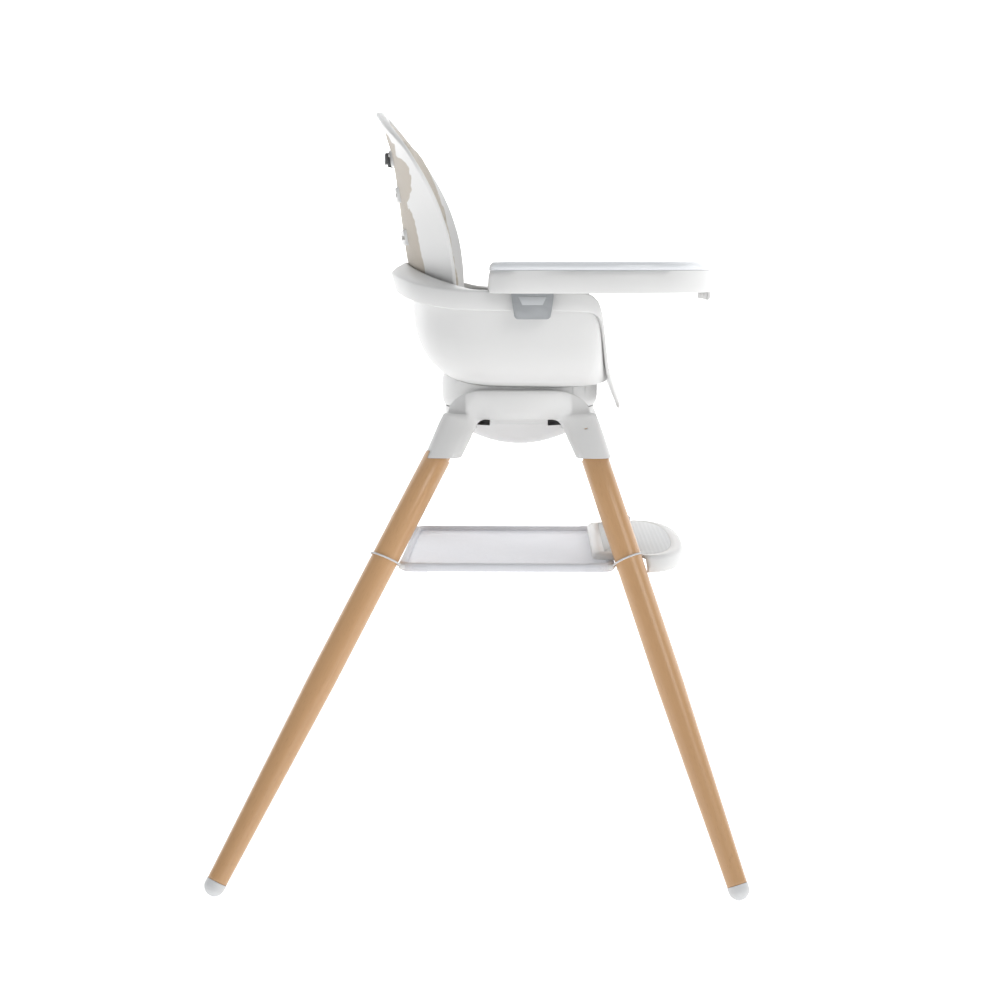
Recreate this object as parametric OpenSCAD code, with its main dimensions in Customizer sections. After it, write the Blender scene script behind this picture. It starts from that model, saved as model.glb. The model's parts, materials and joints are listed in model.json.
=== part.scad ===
// Swivel high chair: bucket seat on a turntable over four splayed wooden legs.
// +X is the front of the chair, +Y its left side, +Z up; the origin is on the floor.

/* [Stance] */
// Distance of the swivel axis in front of the middle of the feet
swivel_x = 51; // [45:1:57]
// Height of the mouths of the leg sockets
socket_z = 541; // [530:1:552]
// Half the distance between left and right leg axes at the sockets
socket_y = 118; // [112:1:122]
// Rearward spread of a rear leg for each millimetre of height
rear_rake = 0.522; // [0.45:0.002:0.55]
// Forward spread of a front leg for each millimetre of height
front_rake = 0.341; // [0.30:0.001:0.37]
// Sideways spread of every leg for each millimetre of height
side_splay = 0.362; // [0.30:0.002:0.37]
// Diameter of a leg over its upper part
leg_d = 36; // [32:0.5:37]
// Diameter of a leg where it meets its foot cap
leg_tip_d = 26; // [22:0.5:29]

/* [Seat] */
// Height of the underside of the seat bucket
floor_z = 631; // [630.5:0.5:634]
// Wall thickness of the bucket and back shell
wall = 3.2; // [2.8:0.1:3.6]
// Thickness of the seat pads
pad_t = 12; // [8:1:14]
// Width of the harness webbing
strap_w = 25; // [20:1:28]

/* [Tray] */
// Half width of the tray
tray_half_w = 212; // [205:1:220]
// Length of the tray from the tips of its arms to its front
tray_len = 301; // [290:1:310]
// Height of the crown of the tray's lip
tray_top = 799.4; // [798:0.2:802]

/* [Shelf and footrest] */
// Height of the top of the shelf's hem
shelf_z = 405.5; // [400:0.5:410]
// Half width of the shelf
shelf_half_w = 170; // [160:1:172]
// Height of the top of the footrest
foot_z = 415.5; // [412:0.5:420]

/* [Hidden] */

white = [0.93, 0.93, 0.92];
grey = [0.62, 0.63, 0.64];
dark = [0.25, 0.26, 0.27];
beech = [0.82, 0.62, 0.42];
beige = [0.78, 0.74, 0.69];
steel = [0.75, 0.76, 0.78];

// ---- small helpers -------------------------------------------------------

function flip_y(p) = [p[0], -p[1], p[2]];
function unit(v) = v / norm(v);
function catmull(a, b, c, d, t) =
    0.5 * (2 * b + (c - a) * t + (2 * a - 5 * b + 4 * c - d) * t * t + (3 * b - a - 3 * c + d) * t * t * t);
// Smooth closed run through rows of numbers, k steps between neighbours
function smooth_loop(p, k) = let (n = len(p))
    [for (i = [0:n - 1], j = [0:k - 1]) catmull(p[(i + n - 1) % n], p[i], p[(i + 1) % n], p[(i + 2) % n], j / k)];
// Smooth open run through rows of numbers, k steps between neighbours
function smooth_run(p, k) = let (n = len(p)) concat(
    [for (i = [0:n - 2], j = [0:k - 1]) catmull(p[max(i - 1, 0)], p[i], p[i + 1], p[min(i + 2, n - 1)], j / k)],
    [p[n - 1]]);
// A half table from front to rear, completed to a whole loop on both sides
function both_sides(half) = concat(half,
    [for (i = [len(half) - 2:-1:1]) [for (k = [0:len(half[i]) - 1]) k == 1 ? -half[i][k] : half[i][k]]]);
function flat(lists) = [for (l = lists) for (v = l) v];
function ring_mid(r) = [for (k = [0:2]) let (c = [for (p = r) p[k]]) (min(c) + max(c)) / 2];

// Closed solid through rings of equal length; its ends are fans round a middle point
module loft(rings) {
    n = len(rings[0]);
    m = len(rings);
    points = concat(flat(rings), [ring_mid(rings[0]), ring_mid(rings[m - 1])]);
    walls = [for (k = [0:m - 2], i = [0:n - 1]) let (a = k * n + i, b = k * n + (i + 1) % n)
        each [[a, a + n, b + n], [a, b + n, b]]];
    ends = [for (i = [0:n - 1]) let (j = (i + 1) % n)
        each [[i, j, m * n], [(m - 1) * n + j, (m - 1) * n + i, m * n + 1]]];
    polyhedron(points, concat(walls, ends), convexity = 10);
}

// Ring of equal sections, closed on itself
module hoop(sections) {
    n = len(sections[0]);
    m = len(sections);
    faces = [for (k = [0:m - 1], i = [0:n - 1])
        let (a = k * n + i, b = k * n + (i + 1) % n, c = ((k + 1) % m) * n + i, d = ((k + 1) % m) * n + (i + 1) % n)
        each [[a, d, c], [a, b, d]]];
    polyhedron(flat(sections), faces, convexity = 10);
}

// Curved slab between rows of outer points and rows of inner points; its ends are closed by strips
module slab(outer, inner) {
    n = 2 * len(outer[0]);
    m = len(outer);
    points = flat([for (i = [0:m - 1]) concat(outer[i], [for (j = [n / 2 - 1:-1:0]) inner[i][j]])]);
    walls = [for (k = [0:m - 2], i = [0:n - 1]) let (a = k * n + i, b = k * n + (i + 1) % n)
        each [[a, a + n, b + n], [a, b + n, b]]];
    last = (m - 1) * n;
    ends = [for (i = [0:n / 2 - 2]) let (j = n - 1 - i)
        each [[i, i + 1, j - 1], [i, j - 1, j], last * [1, 1, 1] + [j - 1, i + 1, i], last * [1, 1, 1] + [j, j - 1, i]]];
    polyhedron(points, concat(walls, ends), convexity = 10);
}

// ---- legs ----------------------------------------------------------------

function rake(front) = front ? front_rake : -rear_rake;
function leg_top(front) = [front ? 152.1 : -56.5, socket_y, socket_z];
// Point on a leg's axis at height z, on the left side of the chair
function leg_at(front, z) = leg_top(front) + (socket_z - z) * [rake(front), side_splay, 0] - [0, 0, socket_z - z];
function leg_up(front) = unit([-rake(front), -side_splay, 1]);
function leg_tilt(front) = let (u = leg_up(front)) [0, acos(u[2]), atan2(u[1], u[0])];

tenon_d = 26;
tenon_len = 38;
cap_h = 15;
cap_start = 13;                                   // height of the middle of a cap's dome
leg_len = norm(leg_at(true, socket_z) - leg_at(true, cap_start));
rear_len = norm(leg_at(false, socket_z) - leg_at(false, cap_start));

module on_leg(front, left, z) {
    mirror([0, left ? 0 : 1, 0]) translate(leg_at(front, z)) rotate(leg_tilt(front)) children();
}

module leg(front, left) {
    length = front ? leg_len : rear_len;
    taper = 0.47 * length;
    color(beech) difference() {
        on_leg(front, left, cap_start) rotate_extrude($fn = 64) polygon([[0, 0], [leg_tip_d / 2 - 3, 0],
            [leg_tip_d / 2 - 3, 6], [leg_tip_d / 2, 6], [leg_d / 2, taper], [leg_d / 2, length - 1],
            [leg_d / 2 - 1, length], [tenon_d / 2, length], [tenon_d / 2, length + tenon_len],
            [0, length + tenon_len]]);
        on_leg(front, left, socket_z) translate([0, 0, -20]) cylinder(d = 8, h = tenon_len + 21, $fn = 32);
        if (front) foot_screw(left ? 1 : -1) cylinder(d = 4, h = screw_len, $fn = 24);
    }
}

// Domed cap pushed on to the spigot at a leg's end, with a small flat where it meets the floor
module foot(front, left) {
    r = leg_tip_d / 2;
    color(white) difference() {
        on_leg(front, left, cap_start) rotate_extrude($fn = 64) difference() {
            union() {
                intersection() {
                    circle(r = r + 0.4, $fn = 64);
                    translate([0, -r - 1]) square([r + 1, r + 1]);
                }
                translate([0, -0.01]) square([r + 0.4, 5.8]);
            }
            translate([-1, 0]) square([leg_tip_d / 2 - 3 + 1, 7]);
            translate([-r - 2, -r - 2]) square([r + 2, 2 * r + 12]);
        }
        translate([-500, -500, -20]) cube([1000, 1000, 20]);
    }
}

module leg_bolts() {
    color(steel) for (front = [false, true], left = [false, true]) {
        on_leg(front, left, socket_z) translate([0, 0, -20]) cylinder(d = 8, h = tenon_len + 28, $fn = 32);
    }
}

// ---- hub -----------------------------------------------------------------

rail_top = 629.5;
plate_top = 601.5;
plate_low = 590;
turn_r = 108;
rail_r = turn_r + 0.9;
sweep_r = 124;                                    // the skirt of the seat passes outside this radius
sweep_z = 596.5;                                  // and above this height

// Sections of one side arch: outer x, outer z, inner x, inner z, middle y, half depth in y
arch_rows = [
    [-77.2, 536, -27, 536, 119.8, 22],
    [-62.5, 570, -13.5, 563, 106, 21],
    [-50, 597, -5, 582, 91, 18],
    [-34, 616, 3, 588, 90, 13],
    [-12, 627, 13, 590, 102, 9],
    [16, rail_top, 26, 590, 112, 8],
    [swivel_x, rail_top, swivel_x, 590, 116.4, 7.6],
    [86, rail_top, 76, 590, 112, 8],
    [114, 627, 89, 590, 102, 9],
    [136, 616, 99, 588, 90, 13],
    [154, 597, 108, 582, 91, 18],
    [165, 570, 117, 563, 106, 21],
    [176.1, 536, 129.9, 536, 119.8, 22]];

function arch_section(r) = let (mid = [(r[0] + r[2]) / 2, r[4], (r[1] + r[3]) / 2],
        half = [(r[0] - r[2]) / 2, 0, (r[1] - r[3]) / 2], n = 20, e = 2 / 2.8)
    [for (i = [0:n - 1]) let (a = -360 * i / n, c = cos(a), s = sin(a))
        mid + half * sign(c) * pow(abs(c), e) + [0, r[5], 0] * sign(s) * pow(abs(s), e)];

module side_arch() {
    difference() {
        loft([for (r = smooth_run(arch_rows, 2)) arch_section(r)]);
        // flat mouths on the sockets
        translate([-200, 0, socket_z - 30]) cube([400, 200, 30]);
    }
}

module about_swivel(z = 0) {
    translate([swivel_x, 0, z]) children();
}

// Stepped bore of a socket: room for a leg's shoulder, then for its tenon
module socket_bore() {
    function circle_at(r, z) = [for (i = [0:31]) [r * cos(360 * i / 32), r * sin(360 * i / 32), z]];
    loft([circle_at(leg_d / 2 + 0.12, -14), circle_at(leg_d / 2 + 0.12, 0), circle_at(tenon_d / 2 + 0.07, 0.02),
        circle_at(tenon_d / 2 + 0.07, tenon_len)]);
}

spindle_d = 16;
groove_r = 78;
module leg_hub() {
    color(white) difference() {
        union() {
            for (side = [0, 1]) mirror([0, side, 0]) side_arch();
            about_swivel(plate_low) cylinder(r = 103, h = plate_top - plate_low, $fn = 96);
            intersection() {
                about_swivel(plate_low) cylinder(r = 116, h = plate_top - plate_low, $fn = 96);
                translate([swivel_x - 60, -130, plate_low]) cube([120, 260, 30]);
            }
            about_swivel(plate_low - 8) cylinder(r = 22, h = 9, $fn = 64);
        }
        about_swivel(plate_top + 0.8) cylinder(r = rail_r, h = 60, $fn = 96);
        about_swivel(sweep_z) difference() {
            cylinder(r = 200, h = 60, $fn = 96);
            translate([0, 0, -1]) cylinder(r = sweep_r, h = 62, $fn = 96);
        }
        about_swivel(plate_low - 10) cylinder(d = spindle_d + 0.1, h = 30, $fn = 64);
        // groove that the lock pin runs round, with a hole at each 30 degrees
        about_swivel(plate_top - 4) difference() {
            cylinder(r = groove_r + 6, h = 5, $fn = 96);
            translate([0, 0, -1]) cylinder(r = groove_r - 6, h = 7, $fn = 96);
        }
        for (a = [0:30:330]) about_swivel(plate_low - 1) rotate(a) translate([groove_r, 0, 0])
            cylinder(d = 8.6, h = 12, $fn = 32);
        for (front = [false, true], left = [false, true]) {
            on_leg(front, left, socket_z) socket_bore();
            on_leg(front, left, socket_z) cylinder(d = 8, h = tenon_len + 8, $fn = 32);
        }
        for (a = [45:90:315]) about_swivel(plate_low - 1) rotate(a) translate([90, 0, 0])
            cylinder(d = 3.2, h = 9, $fn = 24);
    }
}

// Dished cover below the hub
dome_r = 151;
dome_low = 548;
module hub_cover() {
    rim_r = 96;
    function dome_z(r, d) = dome_low + dome_r - sqrt(pow(dome_r - d, 2) - r * r);
    rim_z = dome_z(rim_r, 0);
    color(white) about_swivel(0) difference() {
        union() {
            rotate_extrude($fn = 96) difference() {
                intersection() {
                    translate([0, dome_low + dome_r]) circle(r = dome_r, $fn = 192);
                    translate([0, dome_low - 1]) square([rim_r, plate_low - dome_low + 1]);
                }
                intersection() {
                    translate([0, dome_low + dome_r]) circle(r = dome_r - 2.6, $fn = 192);
                    translate([-1, dome_low - 1]) square([rim_r - 2.6 + 1, 60]);
                }
            }
            for (a = [45:90:315]) rotate(a) translate([88, 0, rim_z - 8])
                cylinder(d = 10, h = plate_low - rim_z + 8, $fn = 32);
        }
        // clear of the feet of the arches
        for (x = [-63, 39], y = [-100, 70]) translate([x, y, plate_low - 10]) cube([24, 30, 12]);
        for (a = [45:90:315]) rotate(a) translate([90, 0, dome_low]) cylinder(d = 3.6, h = 60, $fn = 24);
        for (a = [45:90:315]) rotate(a) translate([90, 0, dome_low - 1])
            cylinder(d = 7, h = plate_low - 6 - dome_low + 1, $fn = 32);
    }
}

module hub_screws() {
    color(steel) about_swivel(0) for (a = [45:90:315]) rotate(a) translate([90, 0, 0]) union() {
        translate([0, 0, plate_low - 8.5]) cylinder(d = 6.4, h = 2.4, $fn = 32);
        translate([0, 0, plate_low - 7]) cylinder(d = 3.2, h = 14, $fn = 24);
    }
}

module glide_ring() {
    color(grey) about_swivel(plate_top) difference() {
        cylinder(r = 52, h = 1.4, $fn = 96);
        translate([0, 0, -1]) cylinder(r = 28, h = 4, $fn = 96);
    }
}

// ---- seat bucket ---------------------------------------------------------

// Bucket rim from front to rear on the left side, with the rim trim's section at each point:
// x, y, z, outward, upward, flare, drop, wall at foot, inner x shift, inner rise
rim_rows = [
    [173, 0, 648, 4, 3, 13, 54, 3.4, 6, 4],
    [172, 45, 649, 4, 3, 12, 48, 3.4, 6, 4],
    [168, 82, 655, 4, 3, 8, 34, 3.4, 6, 4],
    [164, 110, 670, 4, 3, 3, 22, 3.4, 6, 4],
    [161, 132, 698, 4, 3, 1, 17, 3.4, 6, 4],
    [157, 149, 730, 4, 3, 0, 18, 3.4, 7, 4],
    [147, 161, 751, 5, 3, 0, 22, 4.2, 9, 4],
    [120, 168, 757, 6, 3, 0, 25, 5.2, 11, 4],
    [60, 170, 758, 7, 3, 0, 25, 6.2, 12, 4],
    [0, 167, 758.5, 8, 3, 0, 25, 7.2, 14, 4],
    [-42, 148, 759.5, 12, 5, -1, 25, 10, 19, 10],
    [-72, 114, 759, 19, 13, -3, 25, 15, 12, 20],
    [-88, 68, 757, 25, 23, -5, 26, 19, 0, 33],
    [-94.5, 30, 756, 29, 29, -6, 26, 22, -7, 41],
    [-95, 0, 756, 30, 30, -7, 26, 22, -10, 43]];
rim = smooth_loop(both_sides(rim_rows), 3);
rim_n = len(rim);
function rim_point(i) = let (r = rim[(i + rim_n) % rim_n]) [r[0], r[1], r[2]];
// Outward level direction at a point of the rim
function rim_out(i) = let (d = rim_point(i + 1) - rim_point(i - 1)) unit([d[1], -d[0], 0]);

// Squareness of the bowl's profile: round at the rear, boxier at the sides and front
function bowl_power(p) = let (c = (p[0] - swivel_x) / norm([p[0] - swivel_x, p[1]]))
    c > 0 ? 5 : 5 - 2.2 * pow(-c, 1.5);
function bowl_rise(g, n) = 1 - pow(1 - pow(g, n), 1 / n);
function bowl_point(p, g, low) = let (n = bowl_power(p))
    [swivel_x + (p[0] - swivel_x) * g, p[1] * g, low + (p[2] - low) * bowl_rise(g, n)];
function bowl_ring(g, grow, low) = [for (i = [0:rim_n - 1]) bowl_point(rim_point(i) + rim_out(i) * grow, g, low)];

bowl_steps = [0.22, 0.42, 0.58, 0.7, 0.79, 0.86, 0.91, 0.95, 0.975, 0.992, 1];
boss_r = 62;

module seat_bucket() {
    outside = [for (g = bowl_steps) bowl_ring(g, 0, floor_z)];
    inside = [for (i = [len(bowl_steps) - 1:-1:0]) bowl_ring(bowl_steps[i], -wall, floor_z + wall)];
    color(white) difference() {
        union() {
            loft(concat(outside, inside));
            for (a = [45:90:315]) about_swivel(floor_z - 12) rotate(a) translate([boss_r, 0, 0])
                cylinder(d = 14, h = 14, $fn = 32);
        }
        for (a = [45:90:315]) about_swivel(floor_z - 13) rotate(a) translate([boss_r, 0, 0])
            cylinder(d = 4, h = 12, $fn = 24);
        translate([38, -15, floor_z - 5]) cube([4, 30, 20]);
    }
}

// One section of the trim that caps the rim, drops over it and widens into the front skirt
function trim_section(i) = let (r = rim[i], p = rim_point(i), o = rim_out(i),
        top = p + o * r[3] + [0, 0, r[4]], foot = top + o * r[5] - [0, 0, r[6]],
        inner = p - o * r[8] + [0, 0, r[9]])
    [foot, foot + o * 0.8 + [0, 0, 2], top - [0, 0, 2.5], top - o * 0.8 + [0, 0, 0],
        top + (inner - top) * 0.35 + [0, 0, 1.2], inner + (top - inner) * 0.1, inner - [0, 0, 1], inner - [0, 0, 2.6],
        p + o * 0.5 + [0, 0, 0.8], foot - o * r[7] + [0, 0, 0.6]];

module seat_rim() {
    color(white) difference() {
        hoop([for (i = [0:rim_n - 1]) trim_section(i)]);
        translate([lever_x - 12, -17.5, lever_z - 14]) cube([20, 35, 19]);
        translate([lever_x, -20, lever_z]) rotate([-90, 0, 0]) cylinder(d = 3, h = 40, $fn = 32);
    }
}

// ---- turntable -----------------------------------------------------------

module bowl_cutter() {
    rings = [for (g = bowl_steps) bowl_ring(g, 0.4, floor_z - 0.4)];
    top = [for (p = rings[len(rings) - 1]) p + [0, 0, 60]];
    loft(concat(rings, [top]));
}

turn_low = 603;
module turntable() {
    color(white) difference() {
        about_swivel(0) rotate_extrude($fn = 96) polygon([[0, turn_low], [104, turn_low], [106.6, 608], [turn_r, 616],
            [turn_r, 632], [107, 640], [104.5, 648], [0, 648]]);
        bowl_cutter();
        // weight-saving groove, open below
        about_swivel(turn_low - 1) difference() {
            cylinder(r = 100, h = 20, $fn = 96);
            translate([0, 0, -1]) cylinder(r = 88, h = 22, $fn = 96);
        }
        about_swivel(turn_low - 1) cylinder(d = spindle_d, h = 50, $fn = 64);
        about_swivel(floor_z - 10.5) cylinder(r = 13.5, h = 12, $fn = 6);
        for (a = [45:90:315]) about_swivel(0) rotate(a) translate([boss_r, 0, 0]) {
            translate([0, 0, floor_z - 12]) cylinder(d = 14, h = 20, $fn = 32);
            translate([0, 0, turn_low - 1]) cylinder(d = 4.6, h = 30, $fn = 24);
            translate([0, 0, turn_low - 1]) cylinder(d = 9, h = 5, $fn = 32);
        }
        about_swivel(turn_low - 1) translate([-groove_r, 0, 0]) cylinder(d = 12, h = 9, $fn = 32);
        about_swivel(turn_low + 7) translate([-groove_r, 0, 0]) cylinder(d = 9, h = 14, $fn = 32);
    }
}

module spindle_bolt() {
    color(steel) about_swivel(0) union() {
        translate([0, 0, floor_z - 10.4]) cylinder(r = 13.4, h = 9, $fn = 6);
        translate([0, 0, plate_low - 24]) cylinder(d = spindle_d, h = floor_z - 10.4 - plate_low + 25, $fn = 64);
    }
}

module spindle_washer() {
    color(steel) about_swivel(plate_low - 10.2) difference() {
        cylinder(d = 34, h = 2, $fn = 64);
        translate([0, 0, -1]) cylinder(d = spindle_d, h = 4, $fn = 64);
    }
}

module spindle_nut() {
    color(steel) about_swivel(plate_low - 22.2) difference() {
        cylinder(r = 14, h = 12, $fn = 6);
        translate([0, 0, -1]) cylinder(d = spindle_d, h = 14, $fn = 64);
    }
}

module turntable_screws() {
    color(steel) about_swivel(0) for (a = [45:90:315]) rotate(a) translate([boss_r, 0, 0]) union() {
        translate([0, 0, turn_low + 1]) cylinder(d = 8.4, h = 3, $fn = 32);
        translate([0, 0, turn_low + 3.9]) cylinder(d = 4, h = floor_z - 2 - turn_low - 3.9, $fn = 24);
    }
}

// ---- back shell and pads -------------------------------------------------

// Back shell from bottom to top: z, half width, x of the spine's rear face, x of the front of the wings
back_rows = [
    [702, 96, -77.5, -30],
    [730, 107, -84.5, -32],
    [756, 118, -89.8, -33],
    [782, 129, -97.5, -34],
    [806, 139, -103.8, -37],
    [830, 148, -107, -41],
    [852, 152, -110, -47.5],
    [872, 156, -112.5, -54.5],
    [892, 161, -115, -63.5],
    [910, 164, -117, -73],
    [927, 163, -119.5, -83.5],
    [942, 158, -122, -93],
    [956, 147, -126, -104.5],
    [968, 130, -130.5, -115],
    [979, 107, -135.5, -124],
    [988, 80, -139.5, -131],
    [995, 50, -142.5, -136],
    [999.5, 20, -144, -139]];
back_curve = 2.2;

// A point of the back at share s of the half width, moved off the rear face by the depth given
function back_point(r, s, depth) = let (reach = r[3] - r[2],
        n = unit([r[1], -reach * back_curve * pow(abs(s), back_curve - 1) * sign(s), 0]))
    [r[2] + reach * pow(abs(s), back_curve), s * r[1], r[0]] + n * depth;
function back_line(r, depth, width, n) = [for (i = [0:n]) back_point(r, width * (2 * i / n - 1), depth)];

function back_at(z) = let (r = smooth_run(back_rows, 3), k = [for (i = [0:len(r) - 1]) if (r[i][0] <= z) i],
        a = r[max(k)], b = r[max(k) + 1]) a + (b - a) * (z - a[0]) / (b[0] - a[0]);

slot_rows = [831, 888, 936];                      // heights of the three pairs of strap slots
slot_y = 42;

module back_shell() {
    n = 18;
    rows = smooth_run(back_rows, 2);
    color(white) difference() {
        union() {
            slab([for (r = rows) back_line(r, wall, 1, n)], [for (r = rows) back_line(r, 0, 1, n)]);
            for (z = slot_rows) back_guard(z);
        }
        for (z = slot_rows, side = [-1, 1]) translate([-140, side * slot_y - 15, z - 2.5]) cube([80, 30, 5]);
    }
}

// Raised frame round a pair of slots on the rear of the spine: height from the slots, depth
guard_rows = [[-10.3, 1], [-9, 4.2], [9.3, 4.2], [10.7, 1]];
guard_half = 58.3;
module back_guard(z) {
    rows = [for (g = guard_rows) back_at(z + g[0])];
    slab([for (r = rows) back_line(r, 0.47 * wall, guard_half / r[1], 13)],
        [for (i = [0:3]) back_line(rows[i], -guard_rows[i][1], (guard_half - 1.4) / rows[i][1], 13)]);
}

module strap_anchors() {
    color(dark) for (side = [-1, 1]) translate(on_back(side * slot_y, slot_rows[2], -6.9))
        rotate([0, 0, side * -8]) translate([-4, -17, -7]) cube([4, 34, 14]);
}

pad_gap = 0.6;
module back_pad() {
    n = 16;
    rows = [for (r = smooth_run([for (r = back_rows) if (r[0] > 700 && r[0] < 989) r], 2)) r];
    m = len(rows) - 1;
    function fill(i) = pad_t * pow(sin(180 * (i + 1) / (m + 2)), 0.25);
    color(beige) difference() {
        slab([for (i = [0:m]) back_line(rows[i], wall + pad_gap + fill(i), 0.9, n)],
            [for (i = [0:m]) back_line(rows[i], wall + pad_gap, 0.94, n)]);
        translate([-140, -200, 600]) cube([200, 400, 108]);
        for (z = slot_rows, side = [-1, 1]) translate([-150, side * slot_y - 15, z - 2.5]) cube([120, 30, 5]);
    }
}

module base_pad() {
    low = floor_z + wall + pad_gap;
    steps = [0.25, 0.5, 0.66, 0.78];
    under = [for (g = steps) bowl_ring(g, -wall, low)];
    over = [for (i = [3:-1:0]) [for (p = bowl_ring(steps[i] * 0.985, -wall, low))
        p + [0, 0, pad_t * (i == 3 ? 0.7 : 1)]]];
    color(beige) difference() {
        loft(concat(under, over));
        translate([36, -16, floor_z - 5]) cube([8, 32, 60]);
    }
}

// ---- harness -------------------------------------------------------------

strap_t = 1.8;
strap_lift = wall + pad_gap + pad_t + 1.9;        // straps lie just off the front of the back pad
buckle_z = 716;
buckle_x = back_at(buckle_z)[2] + strap_lift + 9;

// A flat strap along route points; sides holds the direction of its width at each of them
function strap_ring(p, side, along) = let (w = unit(side) * strap_w / 2, t = unit(cross(along, side)) * strap_t / 2)
    [p + w - t, p + w + t, p - w + t, p - w - t];
module strap(route, sides) {
    n = len(route) - 1;
    loft([for (i = [0:n]) strap_ring(route[i], sides[i], route[min(i + 1, n)] - route[max(i - 1, 0)])]);
}

function shoulder_y(z) = 15 + (slot_y - 15) * pow((z - 735) / (slot_rows[2] - 735), 0.8);
function on_back(y, z, depth) = let (r = back_at(z)) back_point(r, y / r[1], depth);

module shoulder_straps() {
    low = buckle_z + 32.6;                        // just above the tongues
    high = slot_rows[2] - 9;
    heights = [for (i = [0:10]) low + (high - low) * i / 10];
    route = concat([for (z = heights) on_back(shoulder_y(z), z, strap_lift)],
        [on_back(slot_y, slot_rows[2] - 3.5, strap_lift), on_back(slot_y, slot_rows[2] - 0.8, strap_lift - 0.6),
         on_back(slot_y, slot_rows[2], strap_lift - 3), on_back(slot_y, slot_rows[2], wall),
         on_back(slot_y, slot_rows[2], -5.6)]);
    // the straps lean with the curve of the back
    function lean(y, z) = on_back(y + 1, z, 0) - on_back(y - 1, z, 0);
    sides = concat([for (z = heights) lean(shoulder_y(z), z)], [for (i = [1:5]) lean(slot_y, slot_rows[2])]);
    color(grey) for (side = [0, 1]) mirror([0, side, 0]) strap(route, sides);
}

module waist_straps() {
    route = [for (i = [0:7]) let (y = 27 + (112 - 27) * i / 7, z = buckle_z - 2 + i * 0.6)
        on_back(min(y, back_at(z)[1] * 0.93), z, strap_lift + 8 * pow(1 - i / 7, 2))];
    color(grey) for (side = [0, 1]) mirror([0, side, 0]) strap(route, [for (p = route) [0, 0, 1]]);
}

module crotch_strap() {
    top = floor_z + wall + pad_gap + pad_t;
    points = [[40, 0, floor_z + 0.6], [40, 0, floor_z + 8], [39.5, 0, top + 2], [37, 0, top + 12], [26, 0, top + 24],
        [4, 0, top + 33], [-20, 0, top + 39], [buckle_x + 12, 0, top + 44], [buckle_x + 1.5, 0, buckle_z - 21]];
    route = smooth_run(points, 2);
    color(grey) strap(route, [for (p = route) [0, 1, 0]]);
}

module buckle() {
    color(dark) translate([buckle_x, 0, buckle_z]) rotate([0, 90, 0]) difference() {
        hull() for (sx = [-1, 1], sy = [-1, 1]) translate([sx * 13, sy * 14, -6.5]) cylinder(r = 7, h = 13, $fn = 32);
        translate([0, 0, 2]) cylinder(d = 20.4, h = 10, $fn = 48);
    }
}

// Plates at the strap ends that click into the buckle
module buckle_tongues() {
    back = buckle_x - 6.5;
    color(dark) for (side = [-1, 1]) {
        hull() {
            translate([back - 6.4, side * 15 - 11, buckle_z + 27]) cube([2, 22, 5]);
            translate([back + 2, side * 15 - 9, buckle_z + 20.05]) cube([3, 18, 1]);
        }
        translate([back + 10.2, side * 27 - 5.9, buckle_z - 8]) cube([2.2, 11.8, 16]);
    }
}

module buckle_button() {
    color(grey) translate([buckle_x, 0, buckle_z]) rotate([0, 90, 0]) translate([0, 0, 4.6])
        cylinder(d = 20, h = 3.6, $fn = 48);
}

// ---- swivel lock ---------------------------------------------------------

lever_x = -111;
lever_z = 764;
module swivel_lever() {
    color(dark) difference() {
        hull() {
            translate([lever_x, -17, lever_z]) rotate([-90, 0, 0]) cylinder(d = 6.4, h = 34, $fn = 32);
            translate([lever_x - 5.5, -17, lever_z - 4]) rotate([-90, 0, 0]) cylinder(d = 3, h = 34, $fn = 32);
            translate([lever_x + 4, -17, lever_z - 4]) rotate([-90, 0, 0]) cylinder(d = 3, h = 34, $fn = 32);
        }
        translate([lever_x, -20, lever_z]) rotate([-90, 0, 0]) cylinder(d = 3.1, h = 40, $fn = 32);
    }
}

module lever_pin() {
    color(steel) translate([lever_x, -20, lever_z]) rotate([-90, 0, 0]) cylinder(d = 3, h = 40, $fn = 32);
}

module lock_pin() {
    color(steel) about_swivel(plate_top - 2) translate([-groove_r, 0, 0]) union() {
        cylinder(d = 8, h = 16, $fn = 32);
        translate([0, 0, 15]) cylinder(d = 4, h = 5, $fn = 32);
    }
}

module lock_pin_bush() {
    color(grey) about_swivel(turn_low - 0.9) translate([-groove_r, 0, 0]) difference() {
        cylinder(d = 12, h = 7.9, $fn = 32);
        translate([0, 0, -1]) cylinder(d = 8.1, h = 12, $fn = 32);
    }
}

// ---- tray ----------------------------------------------------------------

tray_rear = 11.6;
tray_low = 759;
tray_split = 788;
cut_half_w = 128;
cut_depth = 92;
tray_mid = tray_rear + 118;

// Outline of the tray: rounded front, straight sides, two arms and the hollow for the child
function tray_outline() = let (front = tray_len + tray_rear - tray_mid, e = 2 / 2.7, lobe = (tray_half_w - cut_half_w) / 2)
    concat(
        [for (i = [-15:15]) let (a = 90 * i / 15, c = cos(a), s = sin(a))
            [tray_mid + front * pow(abs(c), e), tray_half_w * sign(s) * pow(abs(s), e)]],
        [for (i = [1:3]) [tray_mid + (tray_rear + lobe - tray_mid) * i / 4, tray_half_w]],
        [for (i = [0:10]) let (a = 180 * i / 10)
            [tray_rear + lobe - lobe * sin(a), tray_half_w - lobe + lobe * cos(a)]],
        [for (i = [1:11]) let (a = 180 * i / 12)
            [tray_rear + lobe + (cut_depth - lobe) * sin(a), cut_half_w * cos(a)]],
        [for (i = [0:10]) let (a = 180 * i / 10)
            [tray_rear + lobe - lobe * sin(a), -tray_half_w + lobe + lobe * cos(a)]],
        [for (i = [3:-1:1]) [tray_mid + (tray_rear + lobe - tray_mid) * i / 4, -tray_half_w]]);

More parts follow.
